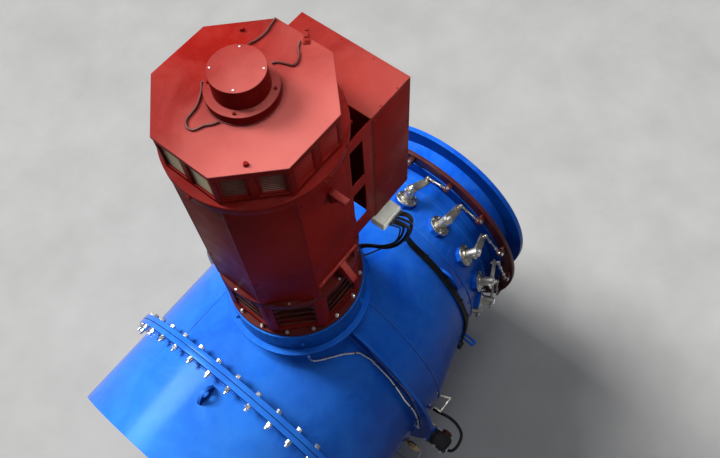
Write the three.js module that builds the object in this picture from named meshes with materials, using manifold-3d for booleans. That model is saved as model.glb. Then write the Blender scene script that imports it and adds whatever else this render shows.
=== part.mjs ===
// Bulb turbine with a vertical generator: a horizontal blue casing on two saddles, a red octagonal
// generator standing on its pedestal, and a ring of guide vanes worked by one regulating ring.
// Millimetres, +Z up. The origin lies on the floor under the middle of the unit's box, X runs downstream.
import * as THREE from 'three';
import { mergeVertices } from 'three/addons/utils/BufferGeometryUtils.js';
import Module from 'manifold-3d';

const wasm = await Module();
wasm.setup();

// Driving dimensions
const GENERATOR_X = -120;
const CASING_Y = 90;
const AXIS_HEIGHT = 1300;
const LID_ABOVE_AXIS = 2910;
const JOINT_GAP = 0.3;
const ROUND = 72;

// Water passage, along the casing axis from the generator's own axis
const CASING_R = 915;
const CASING_WALL = 18;
const FLANGE_R = 1000;
const FLANGE_THICK = 34;
const INLET_END = -1260;
const FLANGE_SEAM = -665;
const BARREL_END = 230;
const TAPER = 15;
const TAPER_END = 860;
const CONE_END = 1115;
const CHAMBER_R = 640;
const CHAMBER_WALL = 20;
const CHAMBER_END = 1500;
const OUTLET_FLANGE_R = 760;
const RIB_X = -1;
const RIB_THICK = 18;
const RIB_R = 1025;

// Pedestal between the casing and the generator, heights above the casing axis
const COLLAR_BOTTOM = 1045;
const COLLAR_TOP = 1070;
const COLLAR_R = 430;
const NECK_R = 350;
const DRUM_R = 395;
const PEDESTAL_TOP = 1260;
const PEDESTAL_WALL = 18;

// Generator, heights below the top of its lid
const LID_ACROSS = 700;
const LID_THICK = 12;
const BODY_ACROSS = 704;
const HOOD_BOTTOM = 200;
const RIM_BOTTOM = 245;
const RIM_R = 386;
const STATOR_BOTTOM = 1215;
const LEDGE_BOTTOM = 1255;
const LEDGE_R = 378;
const BASE_FLANGE_THICK = 26;
const BASE_R = 385;
const GENERATOR_FOOT = LID_ABOVE_AXIS - PEDESTAL_TOP - JOINT_GAP;

// Guide vanes and their linkage
const VANE_COUNT = 16;
const FIRST_VANE_ANGLE = -3.7;
const STEM_X = 995;
const STEM_LEAN = 28;
const STEM_R = 21;
const LEVER_LENGTH = 175;
const LEVER_REST = -8;
const VANE_REST = 50;
const RING_X = [1250, 1278];
const RING_OUTER_R = 832;
const RING_INNER_R = 745;
const TRACK_R = 744.05;
const LINK_PIN_X = 1200;
const LINK_PIN_R = 805;
const LINK_PIN_BEHIND = 13;

// Paint and metal
const PAINT = {
  blue: { color: 0x1450c8, roughness: 0.3, metalness: 0.1 },
  red: { color: 0x8c1512, roughness: 0.45, metalness: 0.1 },
  maroon: { color: 0x4a1012, roughness: 0.5, metalness: 0.1 },
  steel: { color: 0xa9adaf, roughness: 0.35, metalness: 0.9 },
  grey: { color: 0xb9bfb4, roughness: 0.5, metalness: 0.2 },
  black: { color: 0x121214, roughness: 0.6, metalness: 0.0 },
  brass: { color: 0xb58a3c, roughness: 0.35, metalness: 0.9 },
};

const unit = new THREE.Group();
const casing = new THREE.Group();
casing.position.set(GENERATOR_X, CASING_Y, AXIS_HEIGHT);
const generator = new THREE.Group();
generator.position.set(GENERATOR_X, CASING_Y, AXIS_HEIGHT + LID_ABOVE_AXIS);
unit.add(casing, generator);

const radians = (degrees) => THREE.MathUtils.degToRad(degrees);

// Solids and booleans

function toSolid(geometry) {
  const bare = geometry.index ? geometry.toNonIndexed() : geometry.clone();
  for (const name of Object.keys(bare.attributes)) {
    if (name !== 'position') bare.deleteAttribute(name);
  }
  const merged = mergeVertices(bare, 1e-3);
  const source = merged.index.array;
  const position = merged.attributes.position;
  const kept = [];
  let volume = 0;
  const [a, b, c] = [new THREE.Vector3(), new THREE.Vector3(), new THREE.Vector3()];
  for (let i = 0; i < source.length; i += 3) {
    const [p, q, r] = [source[i], source[i + 1], source[i + 2]];
    if (p === q || q === r || r === p) continue;
    kept.push(p, q, r);
    a.fromBufferAttribute(position, p);
    b.fromBufferAttribute(position, q);
    c.fromBufferAttribute(position, r);
    volume += a.dot(b.cross(c));
  }
  if (volume < 0) kept.reverse();
  return new wasm.Manifold(new wasm.Mesh({
    numProp: 3,
    vertProperties: new Float32Array(position.array),
    triVerts: new Uint32Array(kept),
  }));
}

function toGeometry(solid) {
  const mesh = solid.getMesh();
  const geometry = new THREE.BufferGeometry();
  geometry.setAttribute('position', new THREE.BufferAttribute(new Float32Array(mesh.vertProperties), 3));
  geometry.setIndex(Array.from(mesh.triVerts));
  return geometry;
}

function addPart(group, name, solid, paint) {
  const mesh = new THREE.Mesh(toGeometry(solid), new THREE.MeshStandardMaterial(PAINT[paint]));
  mesh.name = name;
  group.add(mesh);
}

const joined = (solids) => solids.reduce((whole, piece) => whole.add(piece));

// A closed profile of [radius, height] points turned about Z
function turned(profile, segments = ROUND) {
  const points = profile.map(([radius, height]) => new THREE.Vector2(radius, height));
  const onAxis = profile[0][0] === 0 && profile.at(-1)[0] === 0;
  if (!onAxis) points.push(points[0].clone());
  const geometry = new THREE.LatheGeometry(points, segments);
  geometry.rotateX(Math.PI / 2);
  return geometry;
}

const aboutZ = (profile, segments) => toSolid(turned(profile, segments));

// The same about the casing axis: a point is [radius, distance downstream]
function aboutX(profile, segments) {
  const geometry = turned(profile, segments);
  geometry.rotateY(Math.PI / 2);
  return toSolid(geometry);
}

function block(low, high) {
  const size = high.map((value, i) => value - low[i]);
  const geometry = new THREE.BoxGeometry(...size);
  geometry.translate(...low.map((value, i) => value + size[i] / 2));
  return toSolid(geometry);
}

function disc(radius, bottom, top, segments = 24, holeRadius = 0) {
  if (holeRadius === 0) return aboutZ([[0, bottom], [radius, bottom], [radius, top], [0, top]], segments);
  return aboutZ([[holeRadius, bottom], [radius, bottom], [radius, top], [holeRadius, top]], segments);
}

function prism(outline, bottom, top) {
  const shape = new THREE.Shape(outline.map(([x, y]) => new THREE.Vector2(x, y)));
  const geometry = new THREE.ExtrudeGeometry(shape, { depth: top - bottom, bevelEnabled: false });
  geometry.translate(0, 0, bottom);
  return toSolid(geometry);
}

function octagon(across) {
  const flat = across / 2;
  const half = flat * Math.tan(radians(22.5));
  return [
    [flat, -half], [flat, half], [half, flat], [-half, flat],
    [-flat, half], [-flat, -half], [-half, -flat], [half, -flat],
  ];
}

function placed(solid, matrix) {
  return solid.transform(matrix.elements);
}

// A point on a circle about the casing axis; the angle is measured from the crown towards +Y
function around(x, radius, angle) {
  return new THREE.Vector3(x, radius * Math.sin(radians(angle)), radius * Math.cos(radians(angle)));
}

function tube(points, diameter, sides = 8, steps = 30) {
  const path = new THREE.CatmullRomCurve3(points, false, 'centripetal');
  const section = new THREE.Shape();
  section.absarc(0, 0, diameter / 2, 0, Math.PI * 2);
  const geometry = new THREE.ExtrudeGeometry(section, {
    extrudePath: path, steps, curveSegments: sides / 2, bevelEnabled: false,
  });
  return toSolid(geometry);
}

// Casing shells

function ringProfile(innerR, outerR, start, end) {
  return [[innerR, start], [outerR, start], [outerR, end], [innerR, end]];
}

const BORE_R = CASING_R - CASING_WALL;
const flangeUp = [FLANGE_SEAM - FLANGE_THICK, FLANGE_SEAM - JOINT_GAP / 2];
const flangeDown = [FLANGE_SEAM + JOINT_GAP / 2, FLANGE_SEAM + FLANGE_THICK];

// A lifting plate standing on the casing in line with its axis, with a round eye
function liftingPlate(start, end, angle, rootR, height, eyeR) {
  const middle = (start + end) / 2;
  const outline = [[start, rootR], [end, rootR], [end, rootR + height * 0.55], [middle + 40, rootR + height],
    [middle - 40, rootR + height], [start, rootR + height * 0.55]];
  const shape = new THREE.Shape(outline.map(([x, r]) => new THREE.Vector2(x, r)));
  const eye = new THREE.Path();
  eye.absarc(middle, rootR + height * 0.6, eyeR, 0, Math.PI * 2);
  shape.holes.push(eye);
  const plate = new THREE.ExtrudeGeometry(shape, { depth: 24, bevelEnabled: false, curveSegments: 6 });
  plate.translate(0, 0, -12);
  plate.rotateX(Math.PI / 2);
  plate.rotateX(radians(-angle));
  return toSolid(plate);
}

addPart(casing, 'inlet_pipe', joined([
  aboutX([
    [BORE_R, INLET_END], [CASING_R, INLET_END], [CASING_R, flangeUp[0]], [FLANGE_R, flangeUp[0]],
    [FLANGE_R, flangeUp[1]], [BORE_R, flangeUp[1]],
  ]),
  liftingPlate(-875, -740, 2, CASING_R - 8, 85, 24),
]), 'blue');

const crownHole = disc(NECK_R - PEDESTAL_WALL, 0, CASING_R + 100, 36);
addPart(casing, 'barrel', aboutX([
  [BORE_R, flangeDown[0]], [FLANGE_R, flangeDown[0]], [FLANGE_R, flangeDown[1]], [CASING_R, flangeDown[1]],
  [CASING_R, BARREL_END], [BORE_R, BARREL_END],
]).subtract(crownHole), 'blue');

// The casing's outer shape with the joint gap added, for trimming what stands on it
const coneRadius = (x) => CASING_R - (x - BARREL_END) * Math.tan(radians(TAPER));
const casingSolid = aboutX([
  [0, -1200], [CASING_R + JOINT_GAP, -1200], [CASING_R + JOINT_GAP, BARREL_END],
  [coneRadius(CONE_END) + JOINT_GAP, CONE_END], [0, CONE_END],
]);
const pedestal = aboutZ([
  [NECK_R - PEDESTAL_WALL, 0], [NECK_R, 0], [NECK_R, COLLAR_BOTTOM], [COLLAR_R, COLLAR_BOTTOM],
  [COLLAR_R, COLLAR_TOP], [DRUM_R, COLLAR_TOP], [DRUM_R, PEDESTAL_TOP], [90, PEDESTAL_TOP],
  [90, PEDESTAL_TOP - 30], [NECK_R - PEDESTAL_WALL, PEDESTAL_TOP - 30],
], 48).subtract(casingSolid);
addPart(casing, 'pedestal', pedestal, 'blue');

const neckClearance = disc(NECK_R + JOINT_GAP, 0, 1200, 48);
addPart(casing, 'stiffening_rib', aboutX(
  ringProfile(CASING_R + JOINT_GAP, RIB_R, RIB_X - RIB_THICK / 2, RIB_X + RIB_THICK / 2),
).subtract(neckClearance), 'blue');

// The long taper behind the barrel, in two shells; the second carries the stem bearings

function taperShell(start, end) {
  return aboutX([
    [coneRadius(start) - CASING_WALL, start], [coneRadius(start), start], [coneRadius(end), end],
    [coneRadius(end) - CASING_WALL, end],
  ]);
}

// A lifting plate across the casing with a long eye
function crossPlate(x, angle, halfSpan, rootR, height) {
  const edge = [];
  for (const step of [-1, -0.6, 0, 0.6, 1]) {
    const rise = rootR + height * (1 - Math.abs(step) ** 3);
    edge.push([rise * Math.sin(radians(halfSpan * step)), rise * Math.cos(radians(halfSpan * step))]);
  }
  edge.push([0, rootR - 12]);
  const shape = new THREE.Shape(edge.map(([y, z]) => new THREE.Vector2(y, z)));
  const slot = new THREE.Path();
  slot.absellipse(0, rootR + height * 0.5, 42, 14, 0, Math.PI * 2);
  shape.holes.push(slot);
  const plate = new THREE.ExtrudeGeometry(shape, { depth: 20, bevelEnabled: false, curveSegments: 6 });
  plate.applyMatrix4(new THREE.Matrix4().makeBasis(
    new THREE.Vector3(0, 1, 0), new THREE.Vector3(0, 0, 1), new THREE.Vector3(1, 0, 0),
  ));
  plate.rotateX(radians(-angle));
  plate.translate(x, 0, 0);
  return toSolid(plate);
}

// A lug that reaches out from the side of the cone, with a long eye; x is its middle
function sideLug(x, angle, reach, halfWidth) {
  const root = coneRadius(x) - 10;
  const tip = coneRadius(x) + reach;
  const outline = [[root, -halfWidth], [tip - 14, -halfWidth], [tip, -halfWidth + 14], [tip, halfWidth - 14],
    [tip - 14, halfWidth], [root, halfWidth]];
  const shape = new THREE.Shape(outline.map(([r, along]) => new THREE.Vector2(r, along)));
  const slot = new THREE.Path();
  slot.absellipse(tip - reach * 0.48, 0, reach * 0.34, halfWidth * 0.45, 0, Math.PI * 2);
  shape.holes.push(slot);
  const plate = new THREE.ExtrudeGeometry(shape, { depth: 18, bevelEnabled: false, curveSegments: 6 });
  plate.translate(0, 0, -9);
  plate.applyMatrix4(new THREE.Matrix4().makeBasis(
    new THREE.Vector3(0, 0, 1), new THREE.Vector3(1, 0, 0), new THREE.Vector3(0, 1, 0),
  ));
  plate.rotateX(radians(-angle));
  plate.translate(x, 0, 0);
  return toSolid(plate);
}

const taper = taperShell(BARREL_END + JOINT_GAP, TAPER_END)
  .add(crossPlate(764, -48, 8.5, coneRadius(784), 60))
  .add(sideLug(732, -100, 118, 23));
addPart(casing, 'taper_cone', taper, 'blue');

// The frame of one stem: x down the vane passage, y round the casing, z outward along the stem
function stemFrame(index) {
  const angle = FIRST_VANE_ANGLE - (360 / VANE_COUNT) * index;
  const lean = radians(STEM_LEAN);
  const seat = around(STEM_X, coneRadius(STEM_X), angle);
  const radial = around(0, 1, angle);
  const axis = new THREE.Vector3(Math.sin(lean), 0, 0).addScaledVector(radial, Math.cos(lean));
  const along = new THREE.Vector3(Math.cos(lean), 0, 0).addScaledVector(radial, -Math.sin(lean));
  const across = new THREE.Vector3().crossVectors(axis, along);
  return new THREE.Matrix4().makeBasis(along, across, axis).setPosition(seat);
}

const BEARING_SIDES = 10;
const BOSS_FLANGE_R = 80;
const BOSS_HUB_R = 44;
const BOSS_HEIGHT = 40;
const BORE_CLEAR_R = STEM_R + 2;
const bearingBoss = aboutZ([
  [BORE_CLEAR_R, -34], [BOSS_FLANGE_R, -34], [BOSS_FLANGE_R, 16], [BOSS_HUB_R, 16],
  [BOSS_HUB_R, BOSS_HEIGHT], [BORE_CLEAR_R, BOSS_HEIGHT],
], BEARING_SIDES);
const stemBore = disc(BORE_CLEAR_R, -60, BOSS_HEIGHT + 20, BEARING_SIDES);
const passage = aboutX([
  [0, 700], [coneRadius(700) - CASING_WALL, 700], [coneRadius(1200) - CASING_WALL, 1200], [0, 1200],
]);

let cone = aboutX([
  [0, TAPER_END + JOINT_GAP], [coneRadius(TAPER_END), TAPER_END + JOINT_GAP], [coneRadius(CONE_END), CONE_END],
  [0, CONE_END],
]);
for (let i = 0; i < VANE_COUNT; i += 1) cone = cone.add(placed(bearingBoss, stemFrame(i)));
cone = cone.subtract(passage);
for (let i = 0; i < VANE_COUNT; i += 1) cone = cone.subtract(placed(stemBore, stemFrame(i)));
addPart(casing, 'guide_cone', cone, 'blue');

// One guide vane: blade, stem and lever are keyed together and turn as one

const COLLAR_SEAT = BOSS_HEIGHT + JOINT_GAP;
const LEVER_TOP = 112;
const LEVER_THICK = 14;
const LEVER_HUB_R = 34;
const LEVER_ROOT_R = 32;
const LEVER_EYE_R = 26;
const BLADE_TOP = -62;
const BLADE_BOTTOM = -398;
const BLADE_THICK = 14;

function stadium(length, startR, endR) {
  const shape = new THREE.Shape();
  const lean = Math.asin((startR - endR) / length);
  shape.absarc(0, 0, startR, Math.PI / 2 - lean, -Math.PI / 2 + lean + Math.PI * 2, false);
  shape.absarc(length, 0, endR, -Math.PI / 2 + lean, Math.PI / 2 - lean, false);
  return shape;
}

function leverSolid() {
  const arm = new THREE.ExtrudeGeometry(stadium(LEVER_LENGTH, LEVER_ROOT_R, LEVER_EYE_R), {
    depth: LEVER_THICK, bevelEnabled: false, curveSegments: 5,
  });
  arm.translate(0, 0, LEVER_TOP - LEVER_THICK);
  const hub = disc(LEVER_HUB_R, COLLAR_SEAT, LEVER_TOP + 6, BEARING_SIDES);
  const tail = block([-58, -14, LEVER_TOP - LEVER_THICK], [0, 14, LEVER_TOP]);
  const whole = joined([toSolid(arm), hub, tail]);
  return placed(whole, new THREE.Matrix4().makeRotationZ(radians(LEVER_REST)));
}

function bladeSolid() {
  const outline = [[-118, BLADE_TOP], [126, BLADE_TOP], [66, BLADE_BOTTOM], [-60, BLADE_BOTTOM]];
  const shape = new THREE.Shape(outline.map(([x, z]) => new THREE.Vector2(x, z)));
  const blade = new THREE.ExtrudeGeometry(shape, { depth: BLADE_THICK, bevelEnabled: false });
  blade.translate(0, 0, -BLADE_THICK / 2);
  blade.rotateX(Math.PI / 2);
  return placed(toSolid(blade), new THREE.Matrix4().makeRotationZ(radians(VANE_REST)));
}

const guideVane = joined([disc(STEM_R, BLADE_TOP - 30, LEVER_TOP, BEARING_SIDES), leverSolid(), bladeSolid()]);
for (let i = 0; i < VANE_COUNT; i += 1) {
  const name = `guide_vane_${String(i + 1).padStart(2, '0')}`;
  addPart(casing, name, placed(guideVane, stemFrame(i)), 'steel');
}

// Regulating ring with one link rod to each lever

const LINK_R = 7;
const LINK_LIFT = 13;
const EYE_R = 17;
const leverEnd = new THREE.Vector3(
  LEVER_LENGTH * Math.cos(radians(LEVER_REST)), LEVER_LENGTH * Math.sin(radians(LEVER_REST)),
  LEVER_TOP + LINK_LIFT + LINK_R,
);

function linkPieces(index) {
  const frame = stemFrame(index);
  const from = leverEnd.clone().applyMatrix4(frame);
  const eye = disc(EYE_R, LEVER_TOP + LINK_LIFT, LEVER_TOP + LINK_LIFT + 2 * LINK_R, 8);
  const shift = new THREE.Matrix4().makeTranslation(leverEnd.x, leverEnd.y, 0);
  const footAngle = THREE.MathUtils.radToDeg(Math.atan2(from.y, from.z)) - LINK_PIN_BEHIND + 2;
  const rod = tube([from, around(LINK_PIN_X, LINK_PIN_R, footAngle)], LINK_R * 2, 8, 1);
  const lug = block([LINK_PIN_X - 18, -18, LINK_PIN_R - 16], [RING_X[0] + 10, 18, LINK_PIN_R + 16]);
  const lugSolid = placed(lug, new THREE.Matrix4().makeRotationX(radians(-footAngle)));
  return [placed(eye, frame.clone().multiply(shift)), rod, lugSolid];
}

const ringPieces = [aboutX(ringProfile(RING_INNER_R, RING_OUTER_R, RING_X[0], RING_X[1]))];
for (let i = 0; i < VANE_COUNT; i += 1) ringPieces.push(...linkPieces(i));
addPart(casing, 'regulating_ring', joined(ringPieces), 'maroon');

// Runner chamber with the track that carries the ring

const CHAMBER_BORE = CHAMBER_R - CHAMBER_WALL;
const chamberStartR = coneRadius(CONE_END);
const track = [RING_X[0] - 6, RING_X[1] + 6];
addPart(casing, 'runner_chamber', aboutX([
  [chamberStartR - CASING_WALL, CONE_END + JOINT_GAP], [chamberStartR, CONE_END + JOINT_GAP],
  [CHAMBER_R, 1190], [CHAMBER_R, track[0]], [TRACK_R, track[0]], [TRACK_R, track[1]],
  [CHAMBER_R, track[1]], [CHAMBER_R, CHAMBER_END - 36], [OUTLET_FLANGE_R, CHAMBER_END - 36],
  [OUTLET_FLANGE_R, CHAMBER_END], [CHAMBER_BORE, CHAMBER_END], [CHAMBER_BORE, 1190],
]), 'blue');

// Gear bulb in the water passage, held by a shaft column and three stays

const BULB_END = 930;
const HUB_R = 280;
const stayTrim = aboutX([
  [0, -900], [BORE_R - JOINT_GAP, -900], [BORE_R - JOINT_GAP, BARREL_END], [0, BARREL_END],
]);
const stay = (angle) => placed(
  block([-330, -16, 300], [200, 16, CASING_R]),
  new THREE.Matrix4().makeRotationX(radians(-angle)),
);
const bulbBody = aboutX([
  [0, -600], [150, -575], [290, -490], [385, -350], [430, -150], [430, 650], [HUB_R, BULB_END], [0, BULB_END],
], 36);
const stays = joined([stay(180), stay(90), stay(-90)]).intersect(stayTrim);
const column = disc(170, 300, PEDESTAL_TOP - 30 - JOINT_GAP, 24);
addPart(casing, 'gear_bulb', joined([bulbBody, stays, column]), 'blue');

const HUB_START = BULB_END + JOINT_GAP;
const runnerHub = aboutX([
  [0, HUB_START], [HUB_R - 4, HUB_START], [HUB_R - 4, 1180], [258, 1290], [150, 1420], [0, 1465],
], 36);
function runnerBlade(angle) {
  const blade = block([-140, -9, 210], [140, 9, CHAMBER_BORE - 10]);
  const pitch = new THREE.Matrix4().makeRotationZ(radians(52));
  const at = new THREE.Matrix4().makeTranslation(1290, 0, 0);
  const turn = new THREE.Matrix4().makeRotationX(radians(angle));
  return placed(blade, turn.multiply(at).multiply(pitch));
}
const bladeTrim = aboutX([
  [0, 1100], [CHAMBER_BORE - 8, 1100], [CHAMBER_BORE - 8, 1480], [0, 1480],
]);
const runnerBlades = joined([0, 90, 180, 270].map(runnerBlade)).intersect(bladeTrim);
addPart(casing, 'runner', joined([runnerHub, runnerBlades]), 'steel');

// Grease tube down the pedestal's neck and along the rib, and a cable round the taper

function onCasing(x, angle, lift) {
  const r = x < BARREL_END ? CASING_R : coneRadius(x);
  return around(x, r + lift, angle);
}

function alongCasing(stops, lift, stepAngle = 3) {
  const points = [];
  for (let i = 1; i < stops.length; i += 1) {
    const [from, to] = [stops[i - 1], stops[i]];
    const count = Math.max(1, Math.ceil(Math.abs(to[1] - from[1]) / stepAngle));
    for (let k = i === 1 ? 0 : 1; k <= count; k += 1) {
      const t = k / count;
      points.push(onCasing(from[0] + (to[0] - from[0]) * t, from[1] + (to[1] - from[1]) * t, lift));
    }
  }
  return points;
}

const GREASE_TUBE = 12;
addPart(casing, 'grease_tube', tube([
  new THREE.Vector3(-284, -307, 1040), new THREE.Vector3(-284, -307, 940), new THREE.Vector3(-276, -307, 894),
  ...alongCasing([
    [-246, -20.8], [-199, -22.9], [-109, -27], [-45, -31], [-24, -36], [-20, -47.8], [-32, -61.5], [-20, -72],
    [-20, -81], [-22, -92],
  ], GREASE_TUBE / 2 + 1.2),
], GREASE_TUBE, 8, 56), 'steel');
addPart(casing, 'casing_cable', tube([
  new THREE.Vector3(462, -374.5, 1705), new THREE.Vector3(462, -392, 1705), new THREE.Vector3(488, -414, 1676),
  new THREE.Vector3(516, -424, 1590), new THREE.Vector3(534, -410, 1470), new THREE.Vector3(550, -382, 1340),
  new THREE.Vector3(583, -341, 1180), new THREE.Vector3(657, -286, 1000), new THREE.Vector3(712, -256, 880),
  onCasing(735, -19.8, 42), onCasing(741, -23, 17),
  ...alongCasing([[744, -27], [745, -40], [745, -60], [742, -78], [715, -88], [640, -92]], 10),
], 16, 8, 60), 'black');

// Fittings low on the side that faces -Y: a handle, a drain cock, and a valve on a short branch with its hose

const turnedOut = (solid, x, y, z) => placed(solid, new THREE.Matrix4().makeRotationX(Math.PI / 2)).translate([x, y, z]);
addPart(casing, 'side_handle', prism([
  [150, -900], [162, -900], [162, -978], [266, -978], [226, -890], [240, -890], [286, -990], [150, -990],
], -56, -44).subtract(casingSolid), 'steel');
addPart(casing, 'drain_cock', turnedOut(aboutZ([
  [0, -12], [18, -12], [18, 14], [12, 14], [12, 28], [17, 32], [17, 78], [12, 82], [12, 106], [0, 106],
], 12), -125, -903, -150).subtract(casingSolid), 'brass');

const BRANCH = { x: 56, z: -350, bore: 34, radius: 40, flangeR: 66, face: 1004 };
addPart(casing, 'valve_branch', turnedOut(aboutZ([
  [BRANCH.bore, -1], [BRANCH.radius, -1], [BRANCH.radius, 175], [BRANCH.flangeR, 175], [BRANCH.flangeR, 189],
  [BRANCH.bore, 189],
], 20), BRANCH.x, BRANCH.face * -1 + 189, BRANCH.z).subtract(casingSolid), 'blue');
addPart(casing, 'side_valve', joined([
  turnedOut(disc(60, JOINT_GAP, 22, 20), BRANCH.x, -BRANCH.face, BRANCH.z),
  block([4, -1140, -402], [104, -1024, -298]),
]), 'black');
const cap = placed(disc(38, 0, 38, 20), new THREE.Matrix4().makeRotationY(Math.PI / 2));
addPart(casing, 'valve_cap', cap.translate([104 + JOINT_GAP, -1084, BRANCH.z]), 'maroon');
addPart(casing, 'valve_hose', tube([
  new THREE.Vector3(150, -914, -80), new THREE.Vector3(150, -940, -80), new THREE.Vector3(158, -990, -85),
  new THREE.Vector3(172, -1052, -100), new THREE.Vector3(172, -1116, -130), new THREE.Vector3(152, -1174, -185),
  new THREE.Vector3(116, -1193, -240), new THREE.Vector3(72, -1194, -296), new THREE.Vector3(42, -1178, -334),
  new THREE.Vector3(36, -1160, -350), new THREE.Vector3(36, -1140.7, -350),
], 22, 8, 36), 'black');

// Saddles under the barrel

const SADDLE_HALF = 640;
const SOLE_THICK = 40;
const SADDLES = { upstream_saddle: -430, downstream_saddle: 560 };
for (const [name, x] of Object.entries(SADDLES)) {
  const sole = block([x - 150, -SADDLE_HALF - 60, -AXIS_HEIGHT], [x + 150, SADDLE_HALF + 60, -AXIS_HEIGHT + SOLE_THICK]);
  const web = block([x - 18, -SADDLE_HALF, -AXIS_HEIGHT], [x + 18, SADDLE_HALF, -400]);
  const gussets = [-480, 0, 480].map(
    (y) => block([x - 125, y - 14, -AXIS_HEIGHT], [x + 125, y + 14, -400]),
  );
  addPart(casing, name, joined([sole, web, ...gussets]).subtract(casingSolid), 'blue');
}

// Generator housing

addPart(generator, 'lid', prism(octagon(LID_ACROSS), -LID_THICK, 0), 'red');
addPart(generator, 'lid_cap', aboutZ([
  [0, JOINT_GAP], [145, JOINT_GAP], [145, 48], [111, 48], [111, 148], [0, 148],
], 36), 'red');

// Two louvred windows sit in each side of the hood
let hood = prism(octagon(BODY_ACROSS - 12), -HOOD_BOTTOM, -LID_THICK - JOINT_GAP);
for (let side = 0; side < 8; side += 1) {
  for (const offset of [-72, 72]) {
    const window = block([BODY_ACROSS / 2 - 22, offset - 56, -178], [BODY_ACROSS / 2 + 30, offset + 56, -36]);
    hood = hood.subtract(placed(window, new THREE.Matrix4().makeRotationZ(side * Math.PI / 4)));
  }
}
addPart(generator, 'hood', hood, 'red');
addPart(generator, 'rim', disc(RIM_R, -RIM_BOTTOM, -HOOD_BOTTOM - JOINT_GAP, 48), 'red');
const RECESS_TOP = -1085;
const faceRecess = block([-138, -BODY_ACROSS / 2 - 10, -STATOR_BOTTOM - 1], [138, -292, RECESS_TOP]);
addPart(generator, 'stator_housing', prism(octagon(BODY_ACROSS), -STATOR_BOTTOM, -RIM_BOTTOM - JOINT_GAP)
  .subtract(faceRecess), 'red');
addPart(generator, 'lower_ledge', disc(LEDGE_R, -LEDGE_BOTTOM, -STATOR_BOTTOM - JOINT_GAP, 48), 'red');

// Lantern between the ledge and the base flange: eight posts round an open space
const lanternTop = -LEDGE_BOTTOM - JOINT_GAP;
const lanternBottom = -GENERATOR_FOOT + BASE_FLANGE_THICK + JOINT_GAP;
let lantern = prism(octagon(BODY_ACROSS), lanternBottom, lanternTop)
  .subtract(disc(300, lanternBottom - 1, lanternTop + 1, 36));
for (let side = 0; side < 8; side += 1) {
  const opening = block([200, -105, lanternBottom + 40], [400, 105, lanternTop - 50]);
  lantern = lantern.subtract(placed(opening, new THREE.Matrix4().makeRotationZ(side * Math.PI / 4)));
}
addPart(generator, 'lantern', lantern, 'red');
addPart(generator, 'base_flange', disc(BASE_R, -GENERATOR_FOOT, -GENERATOR_FOOT + BASE_FLANGE_THICK, 48), 'red');
addPart(generator, 'shaft_coupling', aboutZ([
  [0, -GENERATOR_FOOT + BASE_FLANGE_THICK + JOINT_GAP], [150, -GENERATOR_FOOT + BASE_FLANGE_THICK + JOINT_GAP],
  [150, -1500], [80, -1490], [80, -1400], [200, -1390], [200, -LEDGE_BOTTOM - JOINT_GAP], [0, -LEDGE_BOTTOM - JOINT_GAP],
], 24), 'maroon');

// Brackets on the side that faces -Y: a lug under the rim and a foot in the recess
function sideProfile(outline, start, end) {
  const shape = new THREE.Shape(outline.map(([y, z]) => new THREE.Vector2(y, z)));
  const geometry = new THREE.ExtrudeGeometry(shape, { depth: end - start, bevelEnabled: false });
  geometry.applyMatrix4(new THREE.Matrix4().makeBasis(
    new THREE.Vector3(0, 1, 0), new THREE.Vector3(0, 0, 1), new THREE.Vector3(1, 0, 0),
  ));
  geometry.translate(start, 0, 0);
  return toSolid(geometry);
}
const SIDE_Y = -BODY_ACROSS / 2 - JOINT_GAP;
addPart(generator, 'upper_bracket', joined([
  block([14, -444, -411], [48, SIDE_Y, -395]),
  sideProfile([[SIDE_Y, -400], [SIDE_Y, -500], [-430, -400]], 24, 38),
]), 'red');
addPart(generator, 'lower_bracket', sideProfile([
  [-292 - JOINT_GAP, RECESS_TOP - JOINT_GAP], [-352, RECESS_TOP - JOINT_GAP], [-436, -1196],
  [-436, -STATOR_BOTTOM], [-292 - JOINT_GAP, -STATOR_BOTTOM],
], 14, 50), 'red');

// Terminal box on the downstream side with a plate each side back to the housing
const BOX_X = [BODY_ACROSS / 2 + JOINT_GAP, 638];
const BOX_Y = 305;
const BOX_Z = [-1175, -318];
addPart(generator, 'terminal_box', block([BOX_X[0] + 11, -BOX_Y, BOX_Z[0]], [BOX_X[1], BOX_Y, BOX_Z[1]]), 'red');
const bodyClear = prism(octagon(BODY_ACROSS + 2 * JOINT_GAP), -2000, 0);
for (const [name, side] of [['near_side_plate', -1], ['far_side_plate', 1]]) {
  const y = [side * (BOX_Y - 6), side * BOX_Y].sort((p, q) => p - q);
  const plate = block([150, y[0], BOX_Z[0] + 20], [BOX_X[0] + 10.7, y[1], BOX_Z[1] - 6])
    .subtract(bodyClear)
    .subtract(block([215, -BOX_Y - 20, -680], [302, BOX_Y + 20, -402]))
    .subtract(block([215, -BOX_Y - 20, -1035], [302, BOX_Y + 20, -763]));
  addPart(generator, name, plate, 'red');
}
addPart(generator, 'junction_box', block([345, -374, -1235], [487, -290, BOX_Z[0] - JOINT_GAP]), 'grey');

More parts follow.
